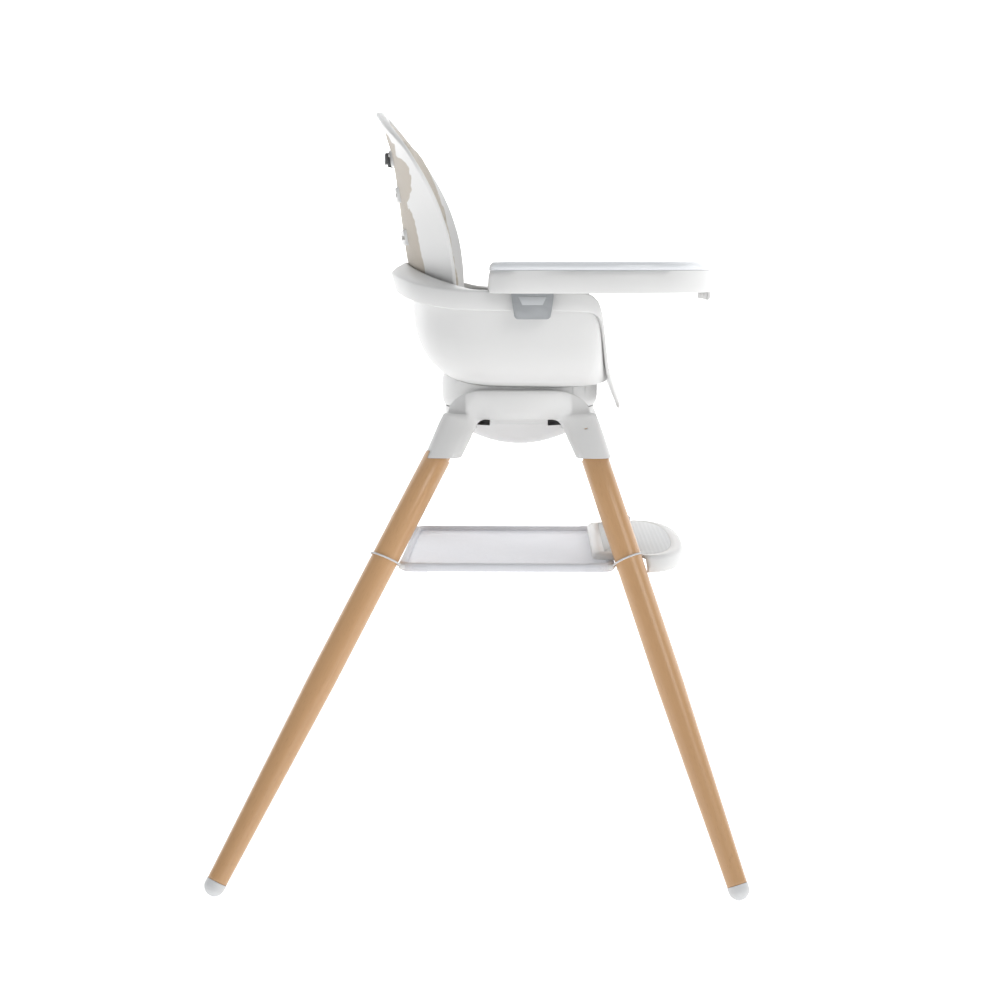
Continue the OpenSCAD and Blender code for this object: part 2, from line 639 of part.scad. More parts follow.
// The outline moved inwards by d and lifted to height z
function inset_ring(outline, d, z) = let (n = len(outline)) [for (i = [0:n - 1])
    let (a = outline[(i + n - 1) % n], b = outline[(i + 1) % n], t = unit(b - a))
    [outline[i][0] - t[1] * d, outline[i][1] + t[0] * d, z]];

// The outline's points: where its arms and the child's hollow begin and end
arm_end = 44;
arc_steps = 10;
// Triangles across the U shape of the outline, from its outer run to the hollow's run
function tray_cap(n) = let (outer = concat([for (i = [arm_end:-1:0]) i], [for (i = [n - 1:-1:arm_end + 12]) i]),
        inner = [for (i = [arm_end + 1:arm_end + 11]) i], last = len(outer) - 1, span = last - 2 * arc_steps,
        near = [for (k = [0:last - 1]) min(max(round((k - arc_steps + 0.5) / span * arc_steps), 0), arc_steps)])
    concat([for (k = [0:last - 1]) [outer[k + 1], outer[k], inner[near[k]]]],
        [for (k = [1:last - 1]) if (near[k] > near[k - 1]) [inner[near[k - 1]], inner[near[k]], outer[k]]]);
module tray_loft(rings) {
    n = len(rings[0]);
    m = len(rings);
    walls = [for (k = [0:m - 2], i = [0:n - 1]) let (a = k * n + i, b = k * n + (i + 1) % n)
        each [[a, a + n, b + n], [a, b + n, b]]];
    ends = [for (t = tray_cap(n)) each [t, [for (k = [2:-1:0]) t[k] + (m - 1) * n]]];
    polyhedron(flat(rings), concat(walls, ends), convexity = 10);
}

module tray() {
    line = tray_outline();
    color(white) difference() {
        tray_loft([inset_ring(line, 1.2, tray_low), inset_ring(line, 0, tray_low + 3),
            inset_ring(line, 1, tray_split - 8), inset_ring(line, 3, tray_split)]);
        tray_loft([inset_ring(line, 4, tray_low - 1), inset_ring(line, 4, tray_low + 3),
            inset_ring(line, 5, tray_split - 8), inset_ring(line, 7, tray_split - 3.5)]);
        // the arms of the tray straddle the rim of the seat
        for (side = [-1, 1]) translate([5, side * 168 - 14, tray_low - 1]) cube([55, 28, 5.5]);
    }
    color(white) tray_grip();
    color(white) for (side = [-1, 1]) tray_ears(side);
}

// Two ears under one arm, bored for the latch's pin
module tray_ears(side) {
    difference() {
        for (x = [latch_x - 33, latch_x + 28]) translate([x, side * latch_y - 4, tray_low + 0.5])
            cube([5, 8, tray_split - 3 - tray_low]);
        translate([latch_x - 40, side * latch_y, latch_z]) rotate([0, 90, 0]) cylinder(d = 3, h = 80, $fn = 32);
    }
}

// Finger lip hanging below the middle of the tray's front edge
module tray_grip() {
    intersection() {
        line = tray_outline();
        tray_loft([inset_ring(line, 4.4, 747.5), inset_ring(line, 1.2, 751), inset_ring(line, 1.2, tray_low + 2)]);
        difference() {
            translate([250, -70, 740]) cube([100, 140, 40]);
            tray_loft([inset_ring(line, 7, 740), inset_ring(line, 5.2, tray_low + 3)]);
        }
    }
}

module tray_insert() {
    line = tray_outline();
    color(white) tray_loft([inset_ring(line, 5, tray_split + 0.3), inset_ring(line, 1.6, tray_split + 0.3),
        inset_ring(line, 2.6, tray_top - 5), inset_ring(line, 5.5, tray_top - 1.2), inset_ring(line, 9, tray_top),
        inset_ring(line, 13, tray_top - 1), inset_ring(line, 17, tray_top - 5), inset_ring(line, 21, tray_split + 3),
        inset_ring(line, 26, tray_split + 2.3)]);
}

latch_x = 69.5;
latch_y = 190;
latch_z = 763;                                    // height of the latch's pin
module tray_latch() {
    color(grey) difference() {
        union() {
            hull() {
                translate([latch_x - 27, latch_y - 4.5, 754]) cube([54, 7, 4]);
                for (sx = [-1, 1]) translate([latch_x + sx * 18, latch_y - 4.5, 731.5]) rotate([-90, 0, 0])
                    cylinder(r = 5.5, h = 7, $fn = 32);
            }
            hull() {
                translate([latch_x - 27, latch_y, latch_z]) rotate([0, 90, 0]) cylinder(d = 7, h = 54, $fn = 32);
                translate([latch_x - 27, latch_y - 3.5, 756]) cube([54, 6, 1]);
            }
            translate([latch_x - 14, latch_y - 18, 731]) cube([28, 15, 3]);
        }
        translate([latch_x - 30, latch_y, latch_z]) rotate([0, 90, 0]) cylinder(d = 3.1, h = 60, $fn = 32);
    }
}

module latch_pins() {
    color(steel) for (side = [-1, 1]) translate([latch_x - 33, side * latch_y, latch_z]) rotate([0, 90, 0])
        cylinder(d = 3, h = 66, $fn = 32);
}

// ---- footrest ------------------------------------------------------------

foot_low = 392.5;
foot_front = 278;
foot_rear = 150;
// Outline of the footrest: D shape in front of the legs, narrower between them
function foot_outline() = let (e = 2 / 2.6)
    concat([for (i = [-12:12]) let (a = 90 * i / 12, c = cos(a), s = sin(a))
            [214 + (foot_front - 214) * pow(abs(c), e), 165 * sign(s) * pow(abs(s), e)]],
        [[foot_rear + 26, 146], [foot_rear + 10, 143], [foot_rear + 3, 137], [foot_rear, 128]],
        [[foot_rear, 60], [foot_rear, 0], [foot_rear, -60]],
        [[foot_rear, -128], [foot_rear + 3, -137], [foot_rear + 10, -143], [foot_rear + 26, -146]]);

// Room round a front leg and the shelf's loop on it
module leg_notch(left, gap) {
    on_leg(true, left, foot_low + 10) translate([0, 0, -40]) cylinder(d = leg_d + gap, h = 80, $fn = 64);
}

module footrest() {
    line = foot_outline();
    color(white) difference() {
        loft([inset_ring(line, 3.5, foot_low), inset_ring(line, 1, foot_low + 3), inset_ring(line, 0, foot_low + 8),
            inset_ring(line, 0, foot_z - 6), inset_ring(line, 1.2, foot_z - 2), inset_ring(line, 4, foot_z)]);
        loft([inset_ring(line, 6.5, foot_low - 1), inset_ring(line, 4.5, foot_low + 8),
            inset_ring(line, 5, foot_z - 5)]);
        loft([inset_ring(line, 16, foot_z - 1.5), inset_ring(line, 16, foot_z + 1)]);
        for (left = [false, true]) leg_notch(left, 9);
        for (side = [-1, 1]) foot_block(side);
        // the rear of the plate lies over the hem of the shelf
        translate([foot_rear - 10, -180, foot_low - 1])
            cube([shelf_x1 + 3 - foot_rear + 10, 360, shelf_z - foot_low + 2]);
    }
}

module footrest_grip() {
    line = foot_outline();
    color(grey) difference() {
        loft([inset_ring(line, 16.4, foot_z - 1.5), inset_ring(line, 16.4, foot_z - 0.3),
            inset_ring(line, 17.2, foot_z + 0.3)]);
        for (left = [false, true]) leg_notch(left, 12);
    }
}

screw_len = 30;
module foot_block(side) {
    translate([190, side * 145 - 14, foot_low + 1]) cube([22, 28, foot_z - 5.5 - foot_low]);
}
// Axis of a footrest screw, from the inner face of its block outwards
module foot_screw(side) {
    translate([201, side * 131, foot_low + 5]) rotate([side * -90, 0, 0]) children();
}

// Blocks under the footrest, scribed to the legs
module footrest_brackets() {
    color(white) difference() {
        for (side = [-1, 1]) foot_block(side);
        for (left = [false, true]) {
            leg_notch(left, 0);
            on_leg(true, left, 411) translate([0, 0, -4]) cylinder(d = leg_d + 9, h = 40, $fn = 64);
        }
        for (side = [-1, 1]) foot_screw(side) translate([0, 0, -1]) cylinder(d = 4, h = screw_len, $fn = 24);
    }
}

module footrest_screws() {
    color(steel) for (side = [-1, 1]) foot_screw(side) {
        translate([0, 0, -2.5]) cylinder(d = 7, h = 2.5, $fn = 32);
        translate([0, 0, -0.1]) cylinder(d = 4, h = screw_len + 0.1, $fn = 24);
    }
}

// ---- shelf ---------------------------------------------------------------

shelf_x0 = -107;
shelf_x1 = 179;
hem_h = 12;
// Rounded rectangle of the shelf
function shelf_outline(d) = let (r = 22 - min(d, 12), x0 = shelf_x0 + d, x1 = shelf_x1 - d, w = shelf_half_w - d)
    concat([for (i = [0:5]) let (a = -90 + 90 * i / 5) [x1 - r + r * cos(a), -w + r + r * sin(a)]],
        [for (i = [0:5]) let (a = 90 * i / 5) [x1 - r + r * cos(a), w - r + r * sin(a)]],
        [for (i = [0:5]) let (a = 90 + 90 * i / 5) [x0 + r + r * cos(a), w - r + r * sin(a)]],
        [for (i = [0:5]) let (a = 180 + 90 * i / 5) [x0 + r + r * cos(a), -w + r + r * sin(a)]]);
function lift(line, z) = [for (p = line) [p[0], p[1], z]];

module shelf_hem() {
    color(white) difference() {
        translate([0, 0, shelf_z - hem_h]) linear_extrude(hem_h) polygon(shelf_outline(0));
        translate([0, 0, shelf_z - hem_h - 1]) linear_extrude(hem_h + 2) polygon(shelf_outline(9));
        translate([0, 0, shelf_z - 8.5]) linear_extrude(5) difference() {
            polygon(shelf_outline(2));
            polygon(shelf_outline(7));
        }
    }
}

module shelf_wire() {
    color(steel) translate([0, 0, shelf_z - 8.1]) linear_extrude(4.2) difference() {
        polygon(shelf_outline(2.4));
        polygon(shelf_outline(6.6));
    }
}

module shelf_mesh() {
    color(white) translate([0, 0, shelf_z - 8]) linear_extrude(1.6) polygon(shelf_outline(9.4));
}

module shelf_loops() {
    color(white) for (front = [false, true], left = [false, true])
        on_leg(front, left, 411) rotate_extrude($fn = 64) translate([leg_d / 2 + 1.8, 0]) circle(r = 1.3, $fn = 16);
}

// ---- assembly ------------------------------------------------------------

leg_hub();
hub_cover();
hub_screws();
glide_ring();
leg(false, false);  // rear_leg_right
leg(false, true);  // rear_leg_left
leg(true, false);  // front_leg_right
leg(true, true);  // front_leg_left
foot(false, false);  // rear_foot_right
foot(false, true);  // rear_foot_left
foot(true, false);  // front_foot_right
foot(true, true);  // front_foot_left
leg_bolts();
footrest();
footrest_grip();
footrest_brackets();
footrest_screws();
shelf_mesh();
shelf_hem();
shelf_wire();
shelf_loops();
turntable();
spindle_bolt();
spindle_washer();
spindle_nut();
turntable_screws();
seat_bucket();
seat_rim();
back_shell();
strap_anchors();
base_pad();
back_pad();
shoulder_straps();
waist_straps();
crotch_strap();
buckle();
buckle_tongues();
buckle_button();
swivel_lever();
lever_pin();
lock_pin();
lock_pin_bush();
tray();
tray_insert();
mirror([0, 1, 0]) tray_latch();  // tray_latch_right
tray_latch();  // tray_latch_left
latch_pins();
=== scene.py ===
import json
from math import acos, atan2, cos, exp, hypot, pi, radians, sin

import bmesh
import bpy
from mathutils import Matrix, Vector, noise
from mathutils.bvhtree import BVHTree

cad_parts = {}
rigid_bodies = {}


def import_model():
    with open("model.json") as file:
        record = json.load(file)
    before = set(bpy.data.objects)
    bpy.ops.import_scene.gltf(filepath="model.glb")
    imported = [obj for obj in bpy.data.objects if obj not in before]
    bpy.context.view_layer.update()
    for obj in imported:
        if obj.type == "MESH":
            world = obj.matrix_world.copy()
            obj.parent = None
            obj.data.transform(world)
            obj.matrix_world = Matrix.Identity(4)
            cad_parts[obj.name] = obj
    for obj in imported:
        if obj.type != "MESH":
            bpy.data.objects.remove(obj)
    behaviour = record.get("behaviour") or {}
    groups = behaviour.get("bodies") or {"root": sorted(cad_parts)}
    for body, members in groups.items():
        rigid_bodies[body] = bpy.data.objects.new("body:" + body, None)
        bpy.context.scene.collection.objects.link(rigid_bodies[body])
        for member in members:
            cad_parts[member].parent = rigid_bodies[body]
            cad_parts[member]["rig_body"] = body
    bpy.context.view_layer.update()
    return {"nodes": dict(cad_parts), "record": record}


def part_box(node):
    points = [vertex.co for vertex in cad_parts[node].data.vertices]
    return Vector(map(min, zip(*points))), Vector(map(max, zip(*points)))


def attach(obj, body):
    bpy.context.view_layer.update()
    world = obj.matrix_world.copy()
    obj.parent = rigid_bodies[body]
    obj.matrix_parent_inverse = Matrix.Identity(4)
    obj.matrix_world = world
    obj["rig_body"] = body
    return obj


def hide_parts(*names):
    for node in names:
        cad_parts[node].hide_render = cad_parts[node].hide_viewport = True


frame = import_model()
cadNodes = frame["nodes"]
print("frame loaded:", len(cadNodes), "nodes")

# camera and light ---------------------------------------------------------

viewSetup = {
    "place": (0.07636, -2.470, 0.80115),
    "tiltDown": 7.70418,                 # degrees below level
    "turn": 1.21597,                     # degrees towards the rear of the chair
    "lens": 63.868,
    "sensor": 36.0,
}


def makeCamera():
    data = bpy.data.cameras.new("viewCamera")
    data.lens = viewSetup["lens"]
    data.sensor_width = viewSetup["sensor"]
    data.clip_end = 60.0
    camera = bpy.data.objects.new("viewCamera", data)
    camera.location = viewSetup["place"]
    camera.rotation_euler = (radians(90 - viewSetup["tiltDown"]), 0, radians(viewSetup["turn"]))
    bpy.context.scene.collection.objects.link(camera)
    bpy.context.scene.camera = camera


studio = {
    "worldStrength": 0.33,
    "floorGlow": 0.50,
    "farGlow": 0.95,
    "wallGlow": 1.05,
    "lamps": [                           # name, place, aimed at, size, power, colour
        ("keyLamp", (1.7, -2.3, 2.3), (0.05, 0.0, 0.55), 1.6, 19, (1.0, 0.985, 0.965)),
        ("frontLamp", (2.6, 0.5, 1.3), (0.05, 0.0, 0.6), 1.5, 8, (0.985, 0.99, 1.0)),
        ("topLamp", (0.0, 0.3, 3.2), (0.0, 0.0, 0.5), 2.4, 11, (0.97, 0.985, 1.0)),
    ],
}


def makeLights():
    world = bpy.data.worlds.new("studioWorld")
    bpy.context.scene.world = world
    world.use_nodes = True
    sky = world.node_tree.nodes["Background"]
    sky.inputs["Color"].default_value = (0.97, 0.985, 1.0, 1)
    sky.inputs["Strength"].default_value = studio["worldStrength"]
    for name, place, target, size, power, colour in studio["lamps"]:
        data = bpy.data.lights.new(name, "AREA")
        data.shape = "DISK"
        data.size = size
        data.energy = power
        data.color = colour
        lamp = bpy.data.objects.new(name, data)
        lamp.location = place
        lamp.rotation_euler = (Vector(target) - Vector(place)).to_track_quat("-Z", "Y").to_euler()
        bpy.context.scene.collection.objects.link(lamp)
    bpy.context.scene.view_settings.view_transform = "Standard"


makeCamera()
makeLights()
print("camera and lamps ready")

# shader helpers -----------------------------------------------------------


def addNode(tree, kind, place=(0, 0), **settings):
    node = tree.nodes.new(kind)
    node.location = place
    for name, value in settings.items():
        if name.startswith("in_"):
            node.inputs[name[3:].replace("_", " ")].default_value = value
        else:
            setattr(node, name, value)
    return node


def wire(tree, fromNode, fromSocket, toNode, toSocket):
    tree.links.new(fromNode.outputs[fromSocket], toNode.inputs[toSocket])


def mathNode(tree, operation, first, second=None):
    node = tree.nodes.new("ShaderNodeMath")
    node.operation = operation
    for index, value in enumerate((first, second)):
        if value is None:
            continue
        if isinstance(value, (int, float)):
            node.inputs[index].default_value = value
        else:
            tree.links.new(value, node.inputs[index])
    return node.outputs[0]


def mixColour(tree, factor, first, second, blend="MIX"):
    node = tree.nodes.new("ShaderNodeMix")
    node.data_type = "RGBA"
    node.blend_type = blend
    for index, value in ((0, factor), (6, first), (7, second)):
        if isinstance(value, (int, float)):
            node.inputs[index].default_value = value
        elif isinstance(value, tuple):
            node.inputs[index].default_value = (*value, 1) if len(value) == 3 else value
        else:
            tree.links.new(value, node.inputs[index])
    return node.outputs[2]


def newGroup(name, inputs, outputs):
    group = bpy.data.node_groups.new(name, "ShaderNodeTree")
    for label, kind, value in inputs:
        socket = group.interface.new_socket(label, in_out="INPUT", socket_type=kind)
        if value is not None:
            socket.default_value = value
    for label, kind in outputs:
        group.interface.new_socket(label, in_out="OUTPUT", socket_type=kind)
    return group, group.nodes.new("NodeGroupInput"), group.nodes.new("NodeGroupOutput")


def placeGroup(tree, group, **values):
    node = tree.nodes.new("ShaderNodeGroup")
    node.node_tree = group
    for name, value in values.items():
        node.inputs[name].default_value = value
    return node


floatKind, vectorKind, colourKind = "NodeSocketFloat", "NodeSocketVector", "NodeSocketColor"


def makeMouldedSkin():
    # fine spark-erosion grain, broad sheen changes and faint handling marks of moulded plastic
    group, source, result = newGroup(
        "mouldedSkin",
        [("Vector", vectorKind, None), ("Grain", floatKind, 2600.0), ("Patch", floatKind, 9.0),
         ("Rough", floatKind, 0.38), ("Spread", floatKind, 0.10)],
        [("Height", floatKind), ("Roughness", floatKind), ("Shade", floatKind)])
    grain = addNode(group, "ShaderNodeTexNoise", in_Detail=2.0, in_Roughness=0.6)
    patch = addNode(group, "ShaderNodeTexNoise", in_Detail=4.0, in_Roughness=0.55)
    marks = addNode(group, "ShaderNodeTexNoise", in_Detail=3.0, in_Roughness=0.5, in_Scale=60.0)
    for node in (grain, patch, marks):
        wire(group, source, "Vector", node, "Vector")
    wire(group, source, "Grain", grain, "Scale")
    wire(group, source, "Patch", patch, "Scale")
    wire(group, grain, "Fac", result, "Height")
    swing = mathNode(group, "SUBTRACT", patch.outputs["Fac"], 0.5)
    rough = mathNode(group, "ADD", source.outputs["Rough"],
                     mathNode(group, "MULTIPLY", swing, source.outputs["Spread"]))
    mark = mathNode(group, "MULTIPLY", mathNode(group, "SUBTRACT", marks.outputs["Fac"], 0.5), 0.06)
    group.links.new(mathNode(group, "ADD", rough, mark), result.inputs["Roughness"])
    shade = mathNode(group, "ADD", mathNode(group, "MULTIPLY", swing, 0.05), 1.0)
    group.links.new(shade, result.inputs["Shade"])
    return group


def makeClothWeave():
    # plain weave: warp and weft threads that pass over and under each other
    group, source, result = newGroup(
        "clothWeave",
        [("Vector", vectorKind, None), ("Threads", floatKind, 1400.0), ("Fluff", floatKind, 0.25)],
        [("Height", floatKind), ("Thread", floatKind), ("Fade", floatKind)])
    split = group.nodes.new("ShaderNodeSeparateXYZ")
    wire(group, source, "Vector", split, "Vector")
    waves = []
    for axis in ("X", "Y"):
        turned = mathNode(group, "MULTIPLY", split.outputs[axis], source.outputs["Threads"])
        waves.append(turned)
    over = mathNode(group, "MULTIPLY", mathNode(group, "SINE", waves[0]), mathNode(group, "SINE", waves[1]))
    warp = mathNode(group, "ABSOLUTE", mathNode(group, "COSINE", waves[0]))
    weft = mathNode(group, "ABSOLUTE", mathNode(group, "COSINE", waves[1]))
    pick = mathNode(group, "GREATER_THAN", over, 0.0)
    first = mathNode(group, "MULTIPLY", pick, warp)
    second = mathNode(group, "MULTIPLY", mathNode(group, "SUBTRACT", 1.0, pick), weft)
    thread = mathNode(group, "ADD", first, second)
    fluff = addNode(group, "ShaderNodeTexNoise", in_Scale=900.0, in_Detail=3.0)
    wire(group, source, "Vector", fluff, "Vector")
    fuzz = mathNode(group, "MULTIPLY", fluff.outputs["Fac"], source.outputs["Fluff"])
    group.links.new(mathNode(group, "ADD", thread, fuzz), result.inputs["Height"])
    group.links.new(thread, result.inputs["Thread"])
    fade = addNode(group, "ShaderNodeTexNoise", in_Scale=14.0, in_Detail=4.0, in_Roughness=0.6)
    wire(group, source, "Vector", fade, "Vector")
    wire(group, fade, "Fac", result, "Fade")
    return group


def makeBeechGrain():
    # long growth bands, short dark flecks and fine pores, all stretched along the leg
    group, source, result = newGroup(
        "beechGrain",
        [("Vector", vectorKind, None)],
        [("Band", floatKind), ("Fleck", floatKind), ("Pore", floatKind)])
    bandStretch = addNode(group, "ShaderNodeMapping", in_Scale=(26.0, 26.0, 1.6))
    wire(group, source, "Vector", bandStretch, "Vector")
    band = addNode(group, "ShaderNodeTexNoise", in_Scale=1.0, in_Detail=5.0, in_Roughness=0.55, in_Distortion=0.6)
    wire(group, bandStretch, "Vector", band, "Vector")
    wire(group, band, "Fac", result, "Band")
    fleckStretch = addNode(group, "ShaderNodeMapping", in_Scale=(620.0, 620.0, 70.0))
    wire(group, source, "Vector", fleckStretch, "Vector")
    fleck = addNode(group, "ShaderNodeTexVoronoi", in_Scale=1.0, in_Randomness=1.0)
    wire(group, fleckStretch, "Vector", fleck, "Vector")
    dash = addNode(group, "ShaderNodeMapRange", clamp=True)
    wire(group, fleck, "Distance", dash, "Value")
    dash.inputs["From Min"].default_value = 0.10
    dash.inputs["From Max"].default_value = 0.26
    dash.inputs["To Min"].default_value = 1.0
    dash.inputs["To Max"].default_value = 0.0
    wire(group, dash, "Result", result, "Fleck")
    poreStretch = addNode(group, "ShaderNodeMapping", in_Scale=(900.0, 900.0, 30.0))
    wire(group, source, "Vector", poreStretch, "Vector")
    pore = addNode(group, "ShaderNodeTexNoise", in_Scale=1.0, in_Detail=3.0, in_Roughness=0.7)
    wire(group, poreStretch, "Vector", pore, "Vector")
    wire(group, pore, "Fac", result, "Pore")
    return group


mouldedSkin = makeMouldedSkin()
clothWeave = makeClothWeave()
beechGrain = makeBeechGrain()


def startMaterial(name, roughness=0.4, metallic=0.0):
    material = bpy.data.materials.new(name)
    material.use_nodes = True
    shader = material.node_tree.nodes["Principled BSDF"]
    shader.inputs["Roughness"].default_value = roughness
    shader.inputs["Metallic"].default_value = metallic
    return material, material.node_tree, shader


def bumpInto(tree, shader, height, strength, distance, corner=0.0):
    bump = addNode(tree, "ShaderNodeBump", in_Strength=strength, in_Distance=distance)
    if corner:                           # a moulded corner is never knife sharp
        soft = addNode(tree, "ShaderNodeBevel", samples=4, in_Radius=corner)
        wire(tree, soft, "Normal", bump, "Normal")
    tree.links.new(height, bump.inputs["Height"])
    wire(tree, bump, "Normal", shader, "Normal")


def plasticMaterial(name, colour, rough, coat=0.0, grain=2600.0, depth=0.00003, spread=0.10, tint=None):
    material, tree, shader = startMaterial(name, rough)
    place = addNode(tree, "ShaderNodeTexCoord")
    skin = placeGroup(tree, mouldedSkin, Grain=grain, Rough=rough, Spread=spread)
    wire(tree, place, "Object", skin, "Vector")
    low = tuple(c * 0.955 for c in colour) if tint is None else tint
    shadeMask = mathNode(tree, "MULTIPLY", mathNode(tree, "SUBTRACT", skin.outputs["Shade"], 0.975), 20.0)
    tree.links.new(mixColour(tree, shadeMask, low, colour), shader.inputs["Base Color"])
    wire(tree, skin, "Roughness", shader, "Roughness")
    shader.inputs["Coat Weight"].default_value = coat
    shader.inputs["Coat Roughness"].default_value = 0.08
    shader.inputs["Subsurface Weight"].default_value = 0.0
    bumpInto(tree, shader, skin.outputs["Height"], 0.35, depth, 0.0009)
    return material


def steelMaterial():
    material, tree, shader = startMaterial("zincSteel", 0.34, 1.0)
    place = addNode(tree, "ShaderNodeTexCoord")
    brushed = addNode(tree, "ShaderNodeMapping", in_Scale=(900.0, 900.0, 60.0))
    streak = addNode(tree, "ShaderNodeTexNoise", in_Scale=1.0, in_Detail=4.0)
    wire(tree, place, "Object", brushed, "Vector")
    wire(tree, brushed, "Vector", streak, "Vector")
    tree.links.new(mixColour(tree, streak.outputs["Fac"], (0.50, 0.51, 0.53), (0.72, 0.73, 0.75)),
                   shader.inputs["Base Color"])
    rough = mathNode(tree, "ADD", mathNode(tree, "MULTIPLY", streak.outputs["Fac"], 0.2), 0.24)
    tree.links.new(rough, shader.inputs["Roughness"])
    bumpInto(tree, shader, streak.outputs["Fac"], 0.2, 0.00004)
    return material


def beechMaterial():
    material, tree, shader = startMaterial("lacqueredBeech", 0.34)
    along = addNode(tree, "ShaderNodeAttribute", attribute_name="alongLeg")
    grain = placeGroup(tree, beechGrain)
    wire(tree, along, "Vector", grain, "Vector")
    body = mixColour(tree, grain.outputs["Band"], (0.53, 0.285, 0.125), (0.74, 0.47, 0.25))
    streaked = mixColour(tree, mathNode(tree, "MULTIPLY", grain.outputs["Pore"], 0.32), body, (0.50, 0.27, 0.12))
    flecked = mixColour(tree, mathNode(tree, "MULTIPLY", grain.outputs["Fleck"], 0.30), streaked, (0.38, 0.19, 0.085))
    tree.links.new(flecked, shader.inputs["Base Color"])
    rough = mathNode(tree, "ADD", mathNode(tree, "MULTIPLY", grain.outputs["Pore"], 0.14), 0.27)
    tree.links.new(rough, shader.inputs["Roughness"])
    shader.inputs["Coat Weight"].default_value = 0.35
    shader.inputs["Coat Roughness"].default_value = 0.16
    bumpInto(tree, shader, grain.outputs["Pore"], 0.12, 0.00008)
    return material


def clothMaterial(name, low, high, threads, depth, rough=0.85, sheen=0.2, attribute=None, alpha=None, fluff=0.25):
    material, tree, shader = startMaterial(name, rough)
    if attribute:
        place = addNode(tree, "ShaderNodeUVMap", uv_map=attribute)
        socket = "UV"
    else:
        place = addNode(tree, "ShaderNodeTexCoord")
        socket = "Object"
    weave = placeGroup(tree, clothWeave, Threads=threads, Fluff=fluff)
    wire(tree, place, socket, weave, "Vector")
    base = mixColour(tree, weave.outputs["Thread"], low, high)
    faded = mixColour(tree, mathNode(tree, "MULTIPLY", weave.outputs["Fade"], 0.35), base, low)
    tree.links.new(faded, shader.inputs["Base Color"])
    shader.inputs["Sheen Weight"].default_value = sheen
    shader.inputs["Sheen Roughness"].default_value = 0.45
    bumpInto(tree, shader, weave.outputs["Height"], 0.55, depth)
    if alpha is not None:
        solid = addNode(tree, "ShaderNodeMapRange", clamp=True)
        wire(tree, weave, "Thread", solid, "Value")
        solid.inputs["From Min"].default_value = 0.30
        solid.inputs["From Max"].default_value = 0.55
        solid.inputs["To Min"].default_value = alpha
        solid.inputs["To Max"].default_value = 1.0
        wire(tree, solid, "Result", shader, "Alpha")
    return material


def gripMaterial():
    # soft pad with rows of small raised dots
    material, tree, shader = startMaterial("gripPad", 0.62)
    place = addNode(tree, "ShaderNodeTexCoord")
    dots = addNode(tree, "ShaderNodeTexVoronoi", in_Scale=170.0, in_Randomness=0.0, voronoi_dimensions="2D")
    wire(tree, place, "Object", dots, "Vector")
    bead = addNode(tree, "ShaderNodeMapRange", clamp=True)
    wire(tree, dots, "Distance", bead, "Value")
    bead.inputs["From Min"].default_value = 0.22
    bead.inputs["From Max"].default_value = 0.34
    bead.inputs["To Min"].default_value = 1.0
    bead.inputs["To Max"].default_value = 0.0
    tree.links.new(mixColour(tree, bead.outputs["Result"], (0.70, 0.71, 0.715), (0.77, 0.78, 0.785)),
                   shader.inputs["Base Color"])
    bumpInto(tree, shader, bead.outputs["Result"], 0.6, 0.0004)
    return material


finishes = {
    "whitePlastic": plasticMaterial("satinWhite", (0.76, 0.76, 0.755), 0.40),
    "trayGloss": plasticMaterial("glossyWhite", (0.77, 0.79, 0.82), 0.20, coat=0.35, grain=1200.0, depth=0.00001),
    "greyPlastic": plasticMaterial("satinGrey", (0.33, 0.34, 0.35), 0.42),
    "latchPlastic": plasticMaterial("latchGrey", (0.345, 0.36, 0.375), 0.40),
    "latchInset": plasticMaterial("latchPale", (0.50, 0.52, 0.535), 0.44),
    "darkPlastic": plasticMaterial("charcoal", (0.075, 0.078, 0.082), 0.46),
    "footNylon": plasticMaterial("footNylon", (0.76, 0.77, 0.78), 0.48, grain=1800.0),
    "loopElastic": clothMaterial("loopElastic", (0.62, 0.62, 0.62), (0.80, 0.80, 0.80), 3600.0, 0.0002, 0.7),
    "steel": steelMaterial(),
    "beech": beechMaterial(),
    "padCloth": clothMaterial("padCloth", (0.47, 0.42, 0.355), (0.60, 0.545, 0.475), 2600.0, 0.00025, 0.82, 0.35),
    "pipingCloth": clothMaterial("pipingCloth", (0.42, 0.375, 0.315), (0.55, 0.50, 0.43), 3200.0, 0.0002, 0.8, 0.3),
    "netCloth": clothMaterial("netCloth", (0.66, 0.67, 0.72), (0.80, 0.81, 0.86), 2100.0, 0.0003, 0.8, 0.1,
                              alpha=0.55),
    "hemCloth": clothMaterial("hemCloth", (0.66, 0.67, 0.71), (0.79, 0.80, 0.84), 3000.0, 0.0002, 0.75, 0.1),
    "webbing": clothMaterial("webbing", (0.24, 0.235, 0.23), (0.40, 0.39, 0.38), 3000.0, 0.0004, 0.8, 0.15,
                             attribute="weaveMap", fluff=0.1),
    "stitching": clothMaterial("stitching", (0.60, 0.56, 0.50), (0.74, 0.70, 0.64), 5000.0, 0.0001, 0.8),
    "grip": gripMaterial(),
}
print("materials ready:", len(finishes))

# mesh helpers -------------------------------------------------------------


def bodyOf(nodeName):
    return cadNodes[nodeName]["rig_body"]


def finishPiece(name, bm, finish, body, nodes=(), slot=None, angle=38):
    mesh = bpy.data.meshes.new(name)
    bm.to_mesh(mesh)
    bm.free()
    piece = bpy.data.objects.new(name, mesh)
    bpy.context.scene.collection.objects.link(piece)
    piece.data.materials.append(finishes[finish])
    for polygon in mesh.polygons:
        polygon.use_smooth = True
    if angle:
        mesh.set_sharp_from_angle(angle=radians(angle))
    settle(piece, body, nodes, slot)
    return piece


def settle(piece, body, nodes=(), slot=None):
    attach(piece, body)
    if nodes:
        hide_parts(*nodes)
        record = {s["node"]: s["material_slot"] for s in frame["record"]["subparts"]}
        slot = slot or record[nodes[0]]


